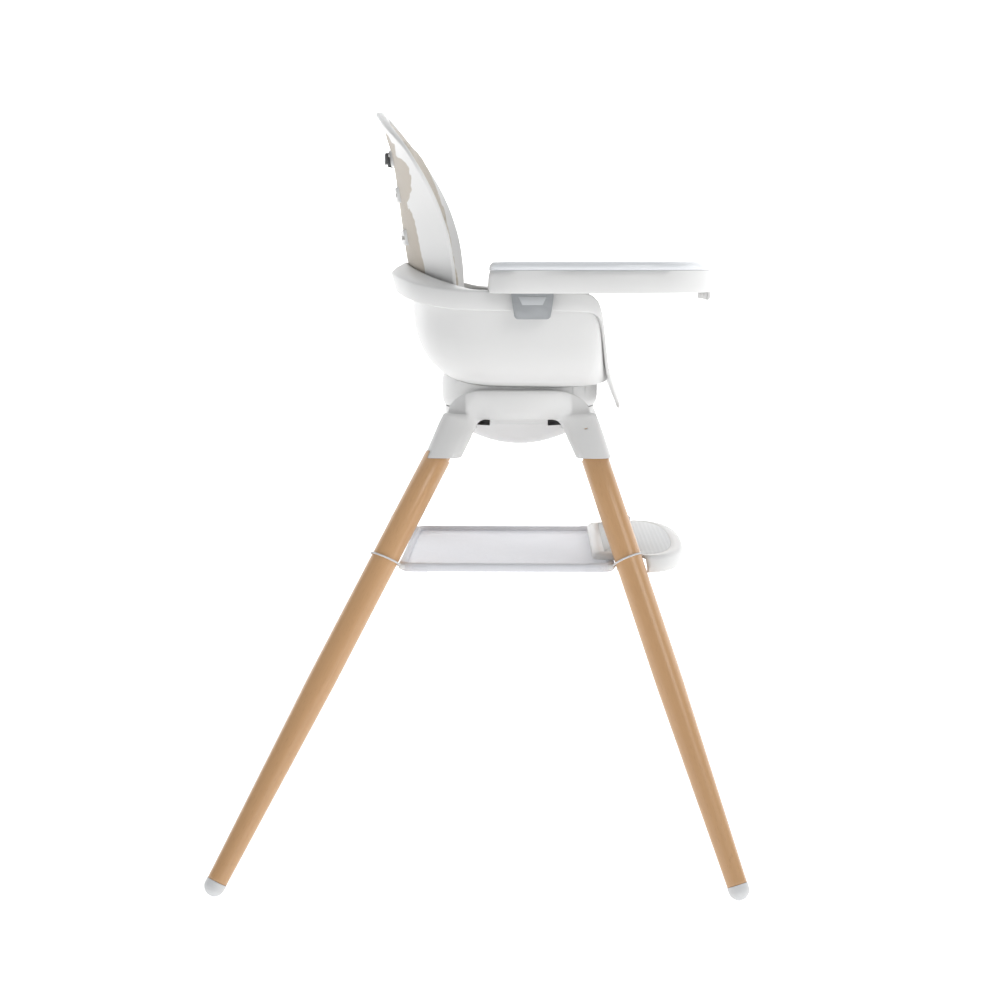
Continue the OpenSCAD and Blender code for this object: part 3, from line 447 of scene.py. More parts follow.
def cadMesh(nodeName):
    # a merged copy of a node's loose triangles
    bm = bmesh.new()
    bm.from_mesh(cadNodes[nodeName].data)
    bmesh.ops.remove_doubles(bm, verts=bm.verts, dist=0.00002)
    return bm


def roundedTwin(nodeName, pieceName, finish, crease=32, levels=2):
    # a merged copy of a CAD shell: edges past the crease angle are creased; with levels it is subdivided and those
    # corners stay sharp, without levels those edges shade sharp
    bm = cadMesh(nodeName)
    creases = bm.edges.layers.float.get("crease_edge") or bm.edges.layers.float.new("crease_edge")
    for e in bm.edges:
        if len(e.link_faces) == 2 and e.calc_face_angle(0.0) > radians(crease):
            e[creases] = 1.0
    piece = finishPiece(pieceName, bm, finish, bodyOf(nodeName), [nodeName], angle=None)
    if not levels:
        piece.data.set_sharp_from_angle(angle=radians(crease))
    else:
        sub = piece.modifiers.new("finer", "SUBSURF")
        sub.levels = levels
        sub.render_levels = levels
        sub.boundary_smooth = "PRESERVE_CORNERS"
    return piece


def ringsToShell(rings, closed=True, capStart=False, capEnd=False):
    bm = bmesh.new()
    runs = []
    for ring in rings:
        verts = [bm.verts.new(p) for p in ring]
        pairs = list(zip(verts, verts[1:] + verts[:1])) if closed else list(zip(verts, verts[1:]))
        runs.append([bm.edges.new(pair) for pair in pairs])
    for first, second in zip(runs, runs[1:]):
        bmesh.ops.bridge_loops(bm, edges=first + second)
    if capStart:
        bmesh.ops.holes_fill(bm, edges=runs[0])
    if capEnd:
        bmesh.ops.holes_fill(bm, edges=runs[-1])
    bmesh.ops.recalc_face_normals(bm, faces=bm.faces)
    return bm


def treeOf(obj):
    depsgraph = bpy.context.evaluated_depsgraph_get()
    return BVHTree.FromObject(obj, depsgraph)


def hitFront(tree, y, z, start=0.4):
    place, normal, index, distance = tree.ray_cast(Vector((start, y, z)), Vector((-1, 0, 0)))
    if place is None:                    # past the pad's edge: the nearest point of it serves
        place, normal, index, distance = tree.find_nearest(Vector((-0.05, y, z)))
    return place, normal


def applyModifiers(piece):
    depsgraph = bpy.context.evaluated_depsgraph_get()
    mesh = bpy.data.meshes.new_from_object(piece.evaluated_get(depsgraph))
    old = piece.data
    piece.modifiers.clear()
    piece.data = mesh
    bpy.data.meshes.remove(old)


# moulded and turned parts that keep the CAD shape -------------------------

shellPieces = [                          # node, piece, finish, crease angle, levels
    ("leg_hub", "legHub", "whitePlastic", 34, 0),
    ("hub_cover", "hubCover", "whitePlastic", 30, 0),
    ("glide_ring", "glideRing", "greyPlastic", 30, 0),
    ("turntable", "turntableDisc", "whitePlastic", 30, 0),
    ("seat_bucket", "seatBucket", "whitePlastic", 34, 0),
    ("seat_rim", "seatRim", "whitePlastic", 40, 0),
    ("back_shell", "backShell", "whitePlastic", 34, 0),
    ("tray", "trayBody", "whitePlastic", 34, 0),
    ("tray_insert", "trayInsert", "trayGloss", 40, 0),
    ("footrest", "footrestPlate", "whitePlastic", 34, 0),
    ("footrest_grip", "footrestGrip", "grip", 34, 0),
    ("footrest_brackets", "footrestBlocks", "whitePlastic", 30, 0),
    ("rear_foot_right", "rearFootRight", "footNylon", 30, 0),
    ("rear_foot_left", "rearFootLeft", "footNylon", 30, 0),
    ("front_foot_right", "frontFootRight", "footNylon", 30, 0),
    ("front_foot_left", "frontFootLeft", "footNylon", 30, 0),
    ("strap_anchors", "strapAnchors", "darkPlastic", 30, 1),
    ("buckle", "buckleBody", "darkPlastic", 34, 2),
    ("buckle_button", "buckleButton", "greyPlastic", 34, 2),
    ("buckle_tongues", "buckleTongues", "darkPlastic", 30, 1),
    ("swivel_lever", "swivelLever", "darkPlastic", 34, 2),
    ("tray_latch_right", "trayLatchRight", "latchPlastic", 34, 1),
    ("tray_latch_left", "trayLatchLeft", "latchPlastic", 34, 1),
]


def makeShells():
    for node, piece, finish, crease, levels in shellPieces:
        roundedTwin(node, piece, finish, crease, levels)
    for node in ("hub_screws", "leg_bolts", "footrest_screws", "spindle_bolt", "spindle_washer", "spindle_nut",
                 "turntable_screws", "lever_pin", "lock_pin", "latch_pins"):
        cadNodes[node].data.materials.clear()
        cadNodes[node].data.materials.append(finishes["steel"])
    cadNodes["lock_pin_bush"].data.materials.clear()
    cadNodes["lock_pin_bush"].data.materials.append(finishes["greyPlastic"])
    print("shells ready:", len(shellPieces))


legSetup = {
    "nodes": ["rear_leg_right", "rear_leg_left", "front_leg_right", "front_leg_left"],
    "names": ["rearLegRight", "rearLegLeft", "frontLegRight", "frontLegLeft"],
}


def makeLegs():
    for count, (node, name) in enumerate(zip(legSetup["nodes"], legSetup["names"])):
        piece = roundedTwin(node, name, "beech", 30, 2)
        low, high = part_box(node)
        points = [v.co for v in cadNodes[node].data.vertices]
        tall = high.z - low.z
        foot = [p for p in points if p.z < low.z + 0.02 * tall]
        head = [p for p in points if p.z > high.z - 0.02 * tall]
        start = sum(foot, Vector()) / len(foot)
        end = sum(head, Vector()) / len(head)
        turn = (end - start).to_track_quat("Z", "Y").inverted().to_matrix()
        shift = Vector((0.31, 0.17, 0.53)) * (count + 1)    # each leg is cut from another board
        along = piece.data.attributes.new("alongLeg", "FLOAT_VECTOR", "POINT")
        for index, vertex in enumerate(piece.data.vertices):
            along.data[index].vector = turn @ (vertex.co - start) + shift
    print("legs ready")


makeShells()
makeLegs()

# soft parts ---------------------------------------------------------------


def sweepTube(points, section, closed=False, up=Vector((0, 0, 1))):
    # section(index, count) gives the ring's (side, up) offsets at that point of the path
    count = len(points)
    rings = []
    for index, point in enumerate(points):
        before = points[(index - 1) % count] if closed else points[max(index - 1, 0)]
        after = points[(index + 1) % count] if closed else points[min(index + 1, count - 1)]
        along = (after - before).normalized()
        side = along.cross(up).normalized()
        lift = side.cross(along).normalized()
        rings.append([point + side * a + lift * b for a, b in section(index, count)])
    bm = bmesh.new()
    runs = []
    for ring in rings:
        verts = [bm.verts.new(p) for p in ring]
        runs.append([bm.edges.new(pair) for pair in zip(verts, verts[1:] + verts[:1])])
    pairs = list(zip(runs, runs[1:])) + ([(runs[-1], runs[0])] if closed else [])
    for first, second in pairs:
        bmesh.ops.bridge_loops(bm, edges=first + second)
    if not closed:
        bmesh.ops.holes_fill(bm, edges=runs[0])
        bmesh.ops.holes_fill(bm, edges=runs[-1])
    bmesh.ops.recalc_face_normals(bm, faces=bm.faces)
    return bm


def ovalSection(wide, tall, steps=12, power=1.0):
    ring = []
    for k in range(steps):
        a = 2 * pi * k / steps
        c, s = cos(a), sin(a)
        ring.append((wide * abs(c) ** power * (1 if c >= 0 else -1), tall * abs(s) ** power * (1 if s >= 0 else -1)))
    return ring


def evenPoints(points, gap, closed=False):
    # the same path with its points a fixed distance apart
    loop = points + [points[0]] if closed else points
    lengths = [0.0]
    for a, b in zip(loop, loop[1:]):
        lengths.append(lengths[-1] + (b - a).length)
    count = max(int(round(lengths[-1] / gap)), 2)
    spread = []
    k = 0
    for n in range(count + (0 if closed else 1)):
        goal = lengths[-1] * n / count
        while k < len(lengths) - 2 and lengths[k + 1] < goal:
            k += 1
        span = lengths[k + 1] - lengths[k]
        spread.append(loop[k].lerp(loop[k + 1], (goal - lengths[k]) / span if span else 0))
    return spread


def stitchRun(bm, points, normals, length, radius):
    # short rounded threads that follow a seam, each sunk a little at its ends
    for index in range(len(points) - 1):
        if index % 2:
            continue
        a, b = points[index], points[index + 1]
        along = (b - a).normalized()
        middle = (a + b) / 2
        normal = normals[index]
        side = along.cross(normal).normalized()
        up = side.cross(along).normalized()
        verts = bmesh.ops.create_icosphere(bm, subdivisions=1, radius=1.0)["verts"]
        turn = Matrix((along * length / 2, side * radius, up * radius)).transposed()
        for v in verts:
            v.co = middle + turn @ v.co + up * radius * 0.3


def makeBackRim():
    # rolled edge of the back shell, wider where it curls over at the top
    low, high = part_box("back_shell")
    edge = {}
    for v in cadNodes["back_shell"].data.vertices:
        row = int((v.co.z - low.z) / 0.006)
        onEdge = v.co.y > 0.09 or v.co.z > high.z - 0.017
        if onEdge and v.co.y > edge.get(row, Vector()).y:
            edge[row] = v.co.copy()
    climb = [edge[row] for row in sorted(edge)]
    climb = [climb[0]] + [(a + b * 2 + c) / 4 for a, b, c in zip(climb, climb[1:], climb[2:])] + [climb[-1]]
    fall = [Vector((p.x, -p.y, p.z)) for p in reversed(climb)]
    path = evenPoints(climb + fall, 0.005)
    top = high.z

    def rimSize(p):
        curl = min(max((p.z - (top - 0.060)) / 0.050, 0), 1)
        return 0.0026 + 0.0004 * curl, 0.0026 + 0.0028 * curl * curl * (3 - 2 * curl)

    for p in path:
        p.z = min(p.z, top - rimSize(p)[1])
    bm = sweepTube(path, lambda i, n: ovalSection(*rimSize(path[i]), 14, 0.8), up=Vector((1, 0, 0)))
    finishPiece("backRim", bm, "whitePlastic", "seat", slot="white_plastic")


latchSetup = {
    "top": 0.0015,                       # below the top of the flat face
    "high": 0.011,
    "wideTop": 0.0185,
    "wideLow": 0.0130,
    "proud": 0.0005,
}


def makeLatchInsets():
    # paler finger panel on the face of each latch
    for node, side, name in (("tray_latch_right", -1, "latchPanelRight"), ("tray_latch_left", 1, "latchPanelLeft")):
        low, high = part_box(node)
        middle = (low.x + high.x) / 2
        face = side * (max(abs(low.y), abs(high.y)) - 0.0010)
        zTop = high.z - 0.0100 - latchSetup["top"]
        zLow = zTop - latchSetup["high"]
        outline = [(middle - latchSetup["wideTop"], zTop), (middle + latchSetup["wideTop"], zTop),
                   (middle + latchSetup["wideLow"], zLow), (middle - latchSetup["wideLow"], zLow)]
        bm = bmesh.new()
        faceVerts = [bm.verts.new((x, face, z)) for x, z in outline]
        plate = bm.faces.new(faceVerts)
        grown = bmesh.ops.extrude_face_region(bm, geom=[plate])
        for v in [g for g in grown["geom"] if isinstance(g, bmesh.types.BMVert)]:
            v.co.y += side * latchSetup["proud"]
        bmesh.ops.recalc_face_normals(bm, faces=bm.faces)
        bmesh.ops.bevel(bm, geom=bm.edges[:], offset=0.0003, segments=2, profile=0.5, affect="EDGES", material=-1)
        finishPiece(name, bm, "latchInset", bodyOf(node), slot="latch_plastic")


padSetup = {
    "voxel": 0.0045,
    "pressure": 4.0,
    "frames": 20,
    "shrink": 0.0006,                    # the cover starts this far inside the CAD pad
}


def softPad(nodeName, pieceName, cap, fillers=()):
    bm = cadMesh(nodeName)
    bmesh.ops.triangulate(bm, faces=bm.faces)
    for middle, size, turn in fillers:   # strap slots are closed here; welts and a dark sheet of painted shadow stand in for them later
        box = Matrix.Translation(middle) @ Matrix.Rotation(turn, 4, "Z") @ Matrix.Diagonal((*size, 1))
        bmesh.ops.create_cube(bm, size=1.0, matrix=box)
    bm.normal_update()
    mesh = bpy.data.meshes.new(pieceName)
    bm.to_mesh(mesh)
    bm.free()
    piece = bpy.data.objects.new(pieceName, mesh)
    bpy.context.scene.collection.objects.link(piece)
    remesh = piece.modifiers.new("even", "REMESH")
    remesh.mode = "VOXEL"
    remesh.voxel_size = padSetup["voxel"]
    applyModifiers(piece)
    bm = bmesh.new()
    bm.from_mesh(piece.data)
    bmesh.ops.smooth_vert(bm, verts=bm.verts, factor=0.5, use_axis_x=True, use_axis_y=True, use_axis_z=True)
    bm.normal_update()
    for v in bm.verts:
        v.co -= v.normal * padSetup["shrink"]
    bm.to_mesh(piece.data)
    bm.free()
    start = [v.co.copy() for v in piece.data.vertices]
    cloth = piece.modifiers.new("stuffing", "CLOTH")
    cloth.settings.quality = 6
    cloth.settings.mass = 0.15
    cloth.settings.tension_stiffness = 18
    cloth.settings.compression_stiffness = 18
    cloth.settings.bending_stiffness = 0.5
    cloth.settings.use_pressure = True
    cloth.settings.uniform_pressure_force = padSetup["pressure"]
    cloth.settings.effector_weights.gravity = 0
    cloth.collision_settings.use_collision = False
    cloth.point_cache.frame_start = 1
    cloth.point_cache.frame_end = padSetup["frames"]
    for frameNumber in range(1, padSetup["frames"] + 1):
        bpy.context.scene.frame_set(frameNumber)
    depsgraph = bpy.context.evaluated_depsgraph_get()
    held = piece.evaluated_get(depsgraph)
    moved = [v.co.copy() for v in held.data.vertices]
    piece.modifiers.clear()
    bpy.context.scene.frame_set(1)
    for v, a, b in zip(piece.data.vertices, start, moved):
        step = b - a
        if step.length > cap:
            step = step.normalized() * cap
        v.co = a + step
    finer = piece.modifiers.new("finer", "SUBSURF")
    finer.levels = 1
    finer.render_levels = 1
    applyModifiers(piece)
    for polygon in piece.data.polygons:
        polygon.use_smooth = True
    piece.data.materials.clear()
    piece.data.materials.append(finishes["padCloth"])
    settle(piece, bodyOf(nodeName), [nodeName])
    print(pieceName, len(piece.data.polygons), "faces")
    return piece


backSetup = {
    "slotHeights": (0.831, 0.888, 0.936),
    "slotSide": 0.042,
    "seamHeights": (0.772, 0.8595, 0.960),
    "border": 0.86,                      # share of the pad's half width where the border seam runs
}


def makeBackPad():
    tree = treeOf(cadNodes["back_pad"])
    fillers = []
    for z in backSetup["slotHeights"]:
        for side in (-1, 1):
            y = side * backSetup["slotSide"]
            front, normal = hitFront(tree, y, z + 0.004)
            middle = front - normal * 0.0062
            fillers.append((Vector((middle.x, middle.y, z)), (0.0105, 0.0306, 0.0062), atan2(normal.y, normal.x)))
    pad = softPad("back_pad", "backPad", 0.005, fillers)
    low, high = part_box("back_pad")
    half = {}
    for v in pad.data.vertices:
        row = round(v.co.z / 0.006)
        half[row] = max(half.get(row, 0.0), abs(v.co.y))
    normals = [v.normal.copy() for v in pad.data.vertices]
    for v, normal in zip(pad.data.vertices, normals):
        if normal.x < 0.15:
            continue                     # the rear of the pad is left plain
        row = half.get(round(v.co.z / 0.006), 0.15)
        dip = 0.0
        for z in backSetup["seamHeights"]:
            dip += exp(-((v.co.z - z) / 0.0032) ** 2) * (0.0022 if abs(v.co.y) < row * backSetup["border"] else 0)
        edge = abs(v.co.y) - row * backSetup["border"]
        if v.co.z < high.z - 0.02:
            dip += exp(-(edge / 0.0030) ** 2) * 0.0018
        dip -= 0.0005 * noise.noise(v.co * 38) + 0.0003 * noise.noise(v.co * 95)
        v.co -= normal * dip
    pad.data.update()
    return pad


def makeBasePad():
    pad = softPad("base_pad", "basePad", 0.005)
    low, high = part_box("base_pad")
    middle = (low + high) / 2
    normals = [v.normal.copy() for v in pad.data.vertices]
    for v, normal in zip(pad.data.vertices, normals):
        if normal.z < 0.2:
            continue
        reach = hypot((v.co.x - middle.x) / (high.x - low.x) * 2, (v.co.y - middle.y) / (high.y - low.y) * 2)
        dip = exp(-((reach - 0.80) / 0.03) ** 2) * 0.0018
        dip -= 0.0006 * noise.noise(v.co * 34) + 0.0003 * noise.noise(v.co * 90)
        v.co -= normal * dip
    pad.data.update()
    return pad


def makeWelts(padTree):
    # bound strap openings: a raised frame of piping round a dark sheet of painted shadow where the slit would be
    welts, shadowSheets = bmesh.new(), bmesh.new()
    for z in backSetup["slotHeights"]:
        for side in (-1, 1):
            centre = side * backSetup["slotSide"]
            path, normals = [], []
            for k in range(40):
                a = 2 * pi * k / 40
                c, s = cos(a), sin(a)
                y = centre + 0.0175 * abs(c) ** 0.45 * (1 if c >= 0 else -1)
                h = z + 0.0046 * abs(s) ** 0.8 * (1 if s >= 0 else -1)
                place, normal = hitFront(padTree, y, h)
                path.append(place + normal * 0.0002)
                normals.append(normal)
            count = len(path)
            runs = []
            for k in range(count):
                along = (path[(k + 1) % count] - path[k - 1]).normalized()
                out = along.cross(normals[k]).normalized()
                verts = [welts.verts.new(path[k] + out * a + normals[k] * b) for a, b in ovalSection(0.0016, 0.0014, 8)]
                runs.append([welts.edges.new(pair) for pair in zip(verts, verts[1:] + verts[:1])])
            for k in range(count):
                bmesh.ops.bridge_loops(welts, edges=runs[k] + runs[(k + 1) % count])
            rows = []
            for k in range(13):
                y = centre - 0.0165 + 0.033 * k / 12
                row = []
                for h in (-0.0034, 0.0, 0.0034):
                    place, normal = hitFront(padTree, y, z + h)
                    row.append(shadowSheets.verts.new(place + normal * (0.0004 if h else 0.0002)))
                rows.append(row)
            for a, b in zip(rows, rows[1:]):
                for k in range(2):
                    shadowSheets.faces.new((a[k], b[k], b[k + 1], a[k + 1]))
    bmesh.ops.recalc_face_normals(welts, faces=welts.faces)
    bmesh.ops.recalc_face_normals(shadowSheets, faces=shadowSheets.faces)
    bmesh.ops.solidify(shadowSheets, geom=shadowSheets.faces, thickness=0.0004)
    finishPiece("slotWelts", welts, "pipingCloth", "seat", slot="pad_fabric")
    # the dark sheets are painted shadow over the closed slits, in the charcoal plastic finish
    finishPiece("slotShadows", shadowSheets, "darkPlastic", "seat", slot="pad_fabric")


def ribbon(name, rows, finish, nodes, thickness=0.0017):
    # rows of points across the strap; the weave runs on its own map along the strap
    bm = bmesh.new()
    uvLayer = bm.loops.layers.uv.new("weaveMap")
    runs = [[bm.verts.new(p) for p in row] for row in rows]
    travel = [0.0]
    for a, b in zip(rows, rows[1:]):
        travel.append(travel[-1] + (b[len(b) // 2] - a[len(a) // 2]).length)
    across = 0.025 / (len(rows[0]) - 1)
    for r, (a, b) in enumerate(zip(runs, runs[1:])):
        for k in range(len(a) - 1):
            face = bm.faces.new((a[k], a[k + 1], b[k + 1], b[k]))
            places = ((k, r), (k + 1, r), (k + 1, r + 1), (k, r + 1))
            for loop, (u, v) in zip(face.loops, places):
                loop[uvLayer].uv = (u * across, travel[v])
    bmesh.ops.recalc_face_normals(bm, faces=bm.faces)
    piece = finishPiece(name, bm, finish, "seat", nodes, angle=None)
    shell = piece.modifiers.new("thickness", "SOLIDIFY")
    shell.thickness = thickness
    shell.offset = 0
    finer = piece.modifiers.new("finer", "SUBSURF")
    finer.levels = 1
    finer.render_levels = 1
    return piece


def smoothPath(points, steps):
    path = []
    count = len(points)
    for i in range(count - 1):
        a, b, c, d = points[max(i - 1, 0)], points[i], points[i + 1], points[min(i + 2, count - 1)]
        for j in range(steps):
            t = j / steps
            path.append(0.5 * (2 * b + (c - a) * t + (2 * a - 5 * b + 4 * c - d) * t * t
                               + (3 * b - a - 3 * c + d) * t * t * t))
    path.append(points[-1].copy())
    return path


strapSetup = {
    "half": 0.0125,
    "columns": 5,
    "lift": 0.0012,
    "buckleZ": 0.716,
    "tongueTop": 0.7455,
}


def makeStraps(padTree):
    buckleLow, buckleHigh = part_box("buckle")
    tongueLow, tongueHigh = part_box("buckle_tongues")
    offsets = [strapSetup["half"] * (2 * k / (strapSetup["columns"] - 1) - 1) for k in range(strapSetup["columns"])]
    top = backSetup["slotHeights"][2]
    for side, label in ((-1, "Right"), (1, "Left")):
        rows = []
        for k in range(34):
            z = strapSetup["tongueTop"] + (top - 0.004 - strapSetup["tongueTop"]) * k / 33
            share = (z - 0.735) / (top - 0.735)
            centre = side * (0.015 + (backSetup["slotSide"] - 0.015) * share ** 0.8)
            row = []
            for d in offsets:
                place, normal = hitFront(padTree, centre + d, z)
                crown = 0.0006 * (1 - (d / strapSetup["half"]) ** 2)
                loose = 0.0012 * sin(k * 0.55 + side) * exp(-((z - 0.80) / 0.035) ** 2)
                row.append(place + normal * (strapSetup["lift"] + crown + max(loose, 0)))
            if k == 0:
                for p in row:
                    p.x = max(p.x, tongueLow.x + 0.0038)
            rows.append(row)
        fold = [p + Vector((-0.0006, 0, -0.0035)) for p in rows[0]]
        under = [p + Vector((-0.0034, 0, -0.0042)) for p in rows[0]]
        rows = [under, fold] + rows
        last = rows[-1]
        rows.append([p + Vector((-0.0030, 0, 0.0034)) for p in last])
        rows.append([p + Vector((-0.0120, 0, 0.0040)) for p in last])
        ribbon("shoulderStrap" + label, rows, "webbing", ["shoulder_straps"] if side < 0 else [])
        rows = []
        for k in range(22):
            share = k / 21
            y = 0.0262 + (0.090 - 0.0262) * share
            z = strapSetup["buckleZ"] - 0.0005 + 0.004 * share
            row = []
            for d in offsets:
                place, normal = hitFront(padTree, side * y, z + d)
                held = Vector((buckleHigh.x - 0.0025, side * y, z + d))
                row.append((place + normal * strapSetup["lift"]).lerp(held, (1 - share) ** 3.2))
            rows.append(row)
        last = rows[-1]
        rows.append([p + Vector((-0.004, side * 0.003, 0)) for p in last])
        rows.append([p + Vector((-0.013, side * 0.004, 0)) for p in last])
        ribbon("waistStrap" + label, rows, "webbing", ["waist_straps"] if side < 0 else [])
    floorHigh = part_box("base_pad")[1].z
    end = Vector((buckleLow.x + 0.008, 0, buckleLow.z + 0.002))
    route = [Vector((0.040, 0, 0.632)), Vector((0.040, 0, 0.640)), Vector((0.0395, 0, 0.650)), Vector((0.036, 0, 0.660)),
             Vector((0.025, 0, 0.671)), Vector((0.004, 0, 0.680)), Vector((-0.020, 0, 0.686)),
             Vector((end.x + 0.012, 0, 0.691)), end]
    rows = []
    for n, point in enumerate(smoothPath(route, 4)):
        sway = 0.0015 * sin(n * 0.35)
        rows.append([point + Vector((0, d + sway * (1 if n > 8 else 0), 0.0010 * (1 - (d / strapSetup["half"]) ** 2)))
                     for d in offsets])
    ribbon("crotchStrap", rows, "webbing", ["crotch_strap"])
    print("harness ready")


def makePadStitches(padTree, backHalf):
    bm = bmesh.new()
    for z in backSetup["seamHeights"]:
        reach = backHalf(z) * backSetup["border"] - 0.002
        points, normals = [], []
        count = int(2 * reach / 0.0032)
        for k in range(count + 1):
            place, normal = hitFront(padTree, -reach + 2 * reach * k / count, z)
            points.append(place)
            normals.append(normal)
        stitchRun(bm, points, normals, 0.0036, 0.00042)
    for side in (-1, 1):
        points, normals = [], []
        for k in range(72):
            z = 0.715 + (0.965 - 0.715) * k / 71
            place, normal = hitFront(padTree, side * backHalf(z) * backSetup["border"], z)
            points.append(place)
            normals.append(normal)
        stitchRun(bm, points, normals, 0.0036, 0.00042)
    finishPiece("backPadStitches", bm, "stitching", "seat", slot="pad_fabric", angle=None)


def makeSeatSoft():
    backPad = makeBackPad()
    basePad = makeBasePad()
    padTree = treeOf(backPad)
    rows = {}
    for v in backPad.data.vertices:
        row = round(v.co.z / 0.006)
        rows[row] = max(rows.get(row, 0.0), abs(v.co.y))

    def backHalf(z):
        return rows.get(round(z / 0.006), 0.14)

    makeWelts(padTree)
    makePadStitches(padTree, backHalf)
    makeStraps(padTree)


shelfSetup = {
    "hem": (0.0045, 0.0058),             # half width and half height of the hem
    "inset": 0.0080,
    "sag": 0.0045,
    "corner": 0.022,
    "grid": 110,
}


def shelfLine(inset, gap=0.004):
    low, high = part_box("shelf_hem")
    r = max(shelfSetup["corner"] - inset, 0.006)
    points = []
    corners = ((high.x - inset - r, high.y - inset - r, 0), (low.x + inset + r, high.y - inset - r, 90),
               (low.x + inset + r, low.y + inset + r, 180), (high.x - inset - r, low.y + inset + r, 270))
    for x, y, start in corners:
        for k in range(13):
            a = radians(start + 90 * k / 12)
            points.append(Vector((x + r * cos(a), y + r * sin(a), 0)))
    return evenPoints(points, gap, closed=True)


def makeShelf():
    low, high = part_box("shelf_hem")
    wide, tall = shelfSetup["hem"]
    middle = (low.z + high.z) / 2
    line = [p + Vector((0, 0, middle)) for p in shelfLine(wide)]

    def hemRing(index, count):
        p = line[index]
        pucker = 0.00035 * noise.noise(p * 160) + 0.0003 * noise.noise(p * 50)
        return [(a * (1 + pucker * 60), b * (1 + pucker * 40)) for a, b in ovalSection(wide, tall, 14, 0.85)]

    hem = finishPiece("shelfHem", sweepTube(line, hemRing, closed=True), "hemCloth", "stand", ["shelf_hem"], angle=None)
    inset = shelfSetup["inset"]
    x0, x1 = low.x + inset, high.x - inset
    half = high.y - inset
    r = shelfSetup["corner"] - inset
    steps = shelfSetup["grid"]
    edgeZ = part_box("shelf_mesh")[1].z
    bm = bmesh.new()
    grid = []
    for i in range(steps + 1):
        x = x0 + (x1 - x0) * i / steps
        short = max(r - (x - x0), r - (x1 - x), 0)
        width = half - (r - (max(r * r - short * short, 0)) ** 0.5)
        row = []
        for j in range(steps + 1):
            y = width * (2 * j / steps - 1)
            u, w = (x - x0) / (x1 - x0) * 2 - 1, y / half
            bowl = (1 - u * u) * (1 - w * w)
            z = edgeZ - shelfSetup["sag"] * bowl ** 0.7
            for cx, cy in ((x0, -half), (x0, half), (x1, -half), (x1, half)):
                far = hypot(x - cx, y - cy)
                turn = atan2(y - cy, x - cx)
                z += 0.0008 * sin(turn * 17) * exp(-far / 0.06) * min(far / 0.02, 1)
            rim = min((x - x0), (x1 - x), half - abs(y))
            z += 0.0005 * noise.noise(Vector((x * 22, y * 9, 0.3))) * min(rim / 0.02, 1)
            row.append(bm.verts.new((x, y, z)))
        grid.append(row)
    for a, b in zip(grid, grid[1:]):
        for k in range(steps):
            bm.faces.new((a[k], b[k], b[k + 1], a[k + 1]))
    net = finishPiece("shelfNet", bm, "netCloth", "stand", ["shelf_mesh", "shelf_wire"], slot="mesh_fabric", angle=None)
    stitches = bmesh.new()
    seam = evenPoints([p + Vector((0, 0, edgeZ + 0.0004)) for p in shelfLine(0.0105)], 0.0034, closed=True)
    stitchRun(stitches, seam, [Vector((0, 0, 1))] * len(seam), 0.0038, 0.0004)
    seamPiece = finishPiece("shelfStitches", stitches, "hemCloth", "stand", slot="hem_fabric", angle=None)
    makeShelfCorners(line, middle)
    print("shelf ready")


def makeShelfCorners(line, middle):
    # a sewn pocket over each corner of the hem, a clip on it and an elastic loop round the leg
    low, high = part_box("shelf_hem")
    wide, tall = shelfSetup["hem"]
    names = {(-1, -1): "rear_leg_right", (-1, 1): "rear_leg_left", (1, -1): "front_leg_right", (1, 1): "front_leg_left"}
    centre = Vector(((low.x + high.x) / 2, 0, 0))
    pockets, clips, loops = bmesh.new(), bmesh.new(), bmesh.new()
    for (sx, sy), leg in names.items():
        corner = Vector((high.x if sx > 0 else low.x, high.y if sy > 0 else low.y, middle))
        near = [p for p in line if (p - corner).length < 0.042]
        start = max(range(len(line)), key=lambda k: (line[k] - corner).length)
        near = [line[(start + k) % len(line)] for k in range(len(line)) if (line[(start + k) % len(line)] - corner).length < 0.042]
        part = sweepTube(near, lambda i, n: ovalSection(wide + 0.0005, tall + 0.0004, 14, 0.85))
        joinInto(pockets, part)
        points = [v.co for v in cadNodes[leg].data.vertices]
        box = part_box(leg)
        foot = [p for p in points if p.z < box[0].z + 0.01]
        head = [p for p in points if p.z > box[1].z - 0.01]
        base = sum(foot, Vector()) / len(foot)
        up = (sum(head, Vector()) / len(head) - base).normalized()
        hub = base + up * ((0.411 - base.z) / up.z)
        hook = min(near, key=lambda p: (p - corner).length) + Vector((sx * 0.004, sy * 0.003, 0.001))
        toward = hook - hub
        lift = toward.dot(up)
        flatWay = (toward - up * lift)
        reach = flatWay.length
        e1 = flatWay.normalized()
        e2 = up.cross(e1)
        radius = 0.0196
        limit = radius / reach
        first = acos(min(limit, 1.0))
        ring = []
        for k in range(41):
            a = first + (2 * pi - 2 * first) * k / 40
            ring.append(hub + (e1 * cos(a) + e2 * sin(a)) * radius + up * (lift * radius / reach * cos(a)))
        path = evenPoints([hook] + ring, 0.0022, closed=True)
        joinInto(loops, sweepTube(path, lambda i, n: ovalSection(0.0013, 0.0013, 8), closed=True, up=up))
        way = Vector((e1.x, e1.y, 0)).normalized()
        sideWay = Vector((0, 0, 1)).cross(way)
        turn = Matrix((way, sideWay, Vector((0, 0, 1)))).transposed().to_4x4()
        block = bmesh.ops.create_cube(clips, size=1.0, matrix=Matrix.Translation(hook) @ turn @ Matrix.Diagonal((0.0085, 0.012, 0.0065, 1)))
        edges = list({e for v in block["verts"] for e in v.link_edges})
        bmesh.ops.bevel(clips, geom=edges, offset=0.0018, segments=3, profile=0.5, affect="EDGES", material=-1)
    finishPiece("shelfPockets", pockets, "hemCloth", "stand", slot="hem_fabric")
    finishPiece("shelfClips", clips, "whitePlastic", "stand", slot="white_plastic")
    finishPiece("shelfLoops", loops, "loopElastic", "stand", ["shelf_loops"], angle=None)


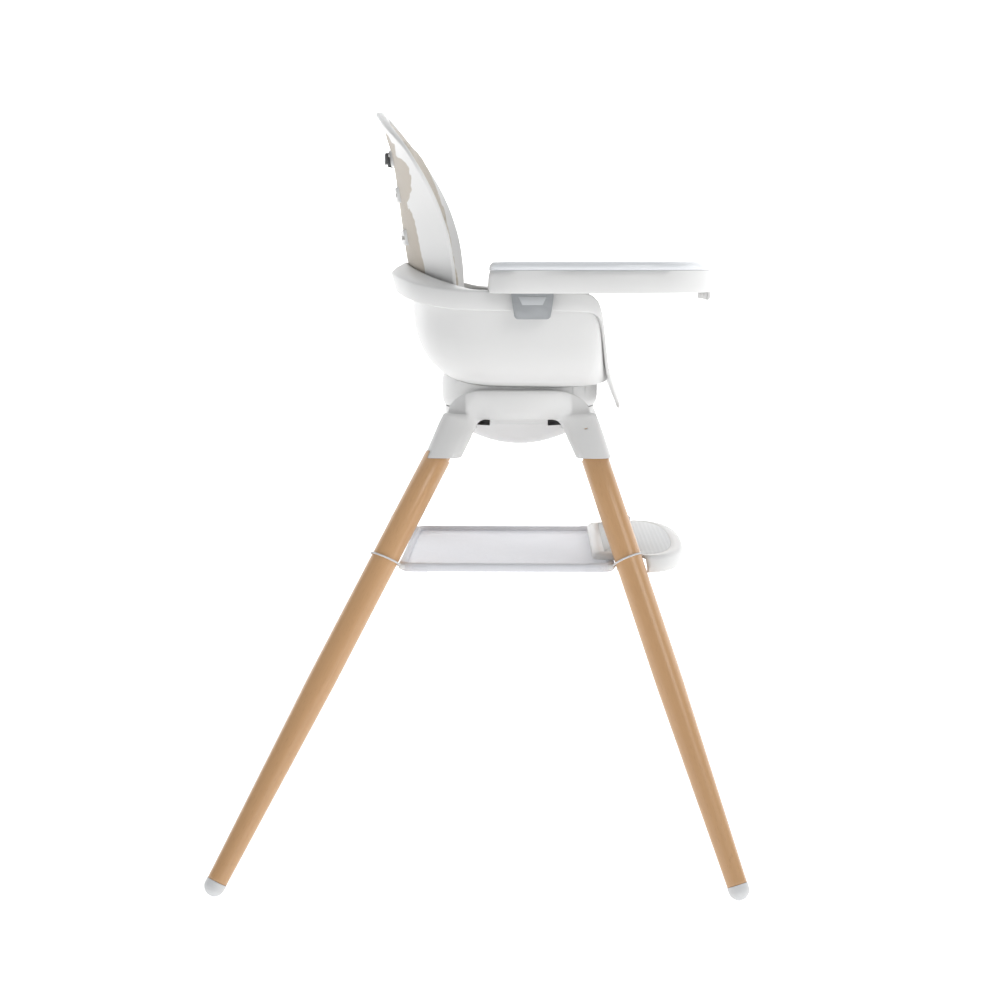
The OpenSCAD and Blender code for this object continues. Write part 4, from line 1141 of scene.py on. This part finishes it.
def joinInto(target, part):
    spare = bpy.data.meshes.new("spare")
    part.to_mesh(spare)
    part.free()
    target.from_mesh(spare)
    bpy.data.meshes.remove(spare)


makeBackRim()
makeLatchInsets()
makeSeatSoft()
makeShelf()

# stage --------------------------------------------------------------------


def makeStage():
    # paper floor with a painted glow, dimmer near the chair and brighter away from it, and an evenly glowing wall
    # behind it
    bm = bmesh.new()
    bmesh.ops.create_circle(bm, cap_ends=True, segments=64, radius=9.0)
    floor = stagePiece("studioFloor", bm)
    material, tree, shader = startMaterial("paperFloor", 0.9)
    shader.inputs["Base Color"].default_value = (0.90, 0.90, 0.90, 1)
    shader.inputs["Specular IOR Level"].default_value = 0.1
    place = addNode(tree, "ShaderNodeTexCoord")
    reach = addNode(tree, "ShaderNodeVectorMath", operation="LENGTH")
    wire(tree, place, "Object", reach, 0)
    # painted glow: the floor's emission grows with distance from the chair and is weaker near it, where shade falls
    glow = addNode(tree, "ShaderNodeMapRange", clamp=True, interpolation_type="SMOOTHSTEP")
    wire(tree, reach, "Value", glow, "Value")
    glow.inputs["From Min"].default_value = 0.3
    glow.inputs["From Max"].default_value = 2.6
    glow.inputs["To Min"].default_value = studio["floorGlow"]
    glow.inputs["To Max"].default_value = studio["farGlow"]
    shader.inputs["Emission Color"].default_value = (1, 1, 1, 1)
    wire(tree, glow, "Result", shader, "Emission Strength")
    floor.data.materials.append(material)
    bm = bmesh.new()
    wall = Matrix.Translation((0, 6.5, 4)) @ Matrix.Rotation(radians(90), 4, "X")
    bmesh.ops.create_grid(bm, x_segments=2, y_segments=2, size=14.0, matrix=wall)
    back = stagePiece("studioWall", bm)
    material, tree, shader = startMaterial("litWall", 0.9)
    shader.inputs["Base Color"].default_value = (0.8, 0.8, 0.8, 1)
    shader.inputs["Emission Color"].default_value = (1, 1, 1, 1)
    shader.inputs["Emission Strength"].default_value = studio["wallGlow"]
    back.data.materials.append(material)


def stagePiece(name, bm):
    mesh = bpy.data.meshes.new(name)
    bm.to_mesh(mesh)
    bm.free()
    piece = bpy.data.objects.new(name, mesh)
    bpy.context.scene.collection.objects.link(piece)
    return piece


makeStage()

print("done")
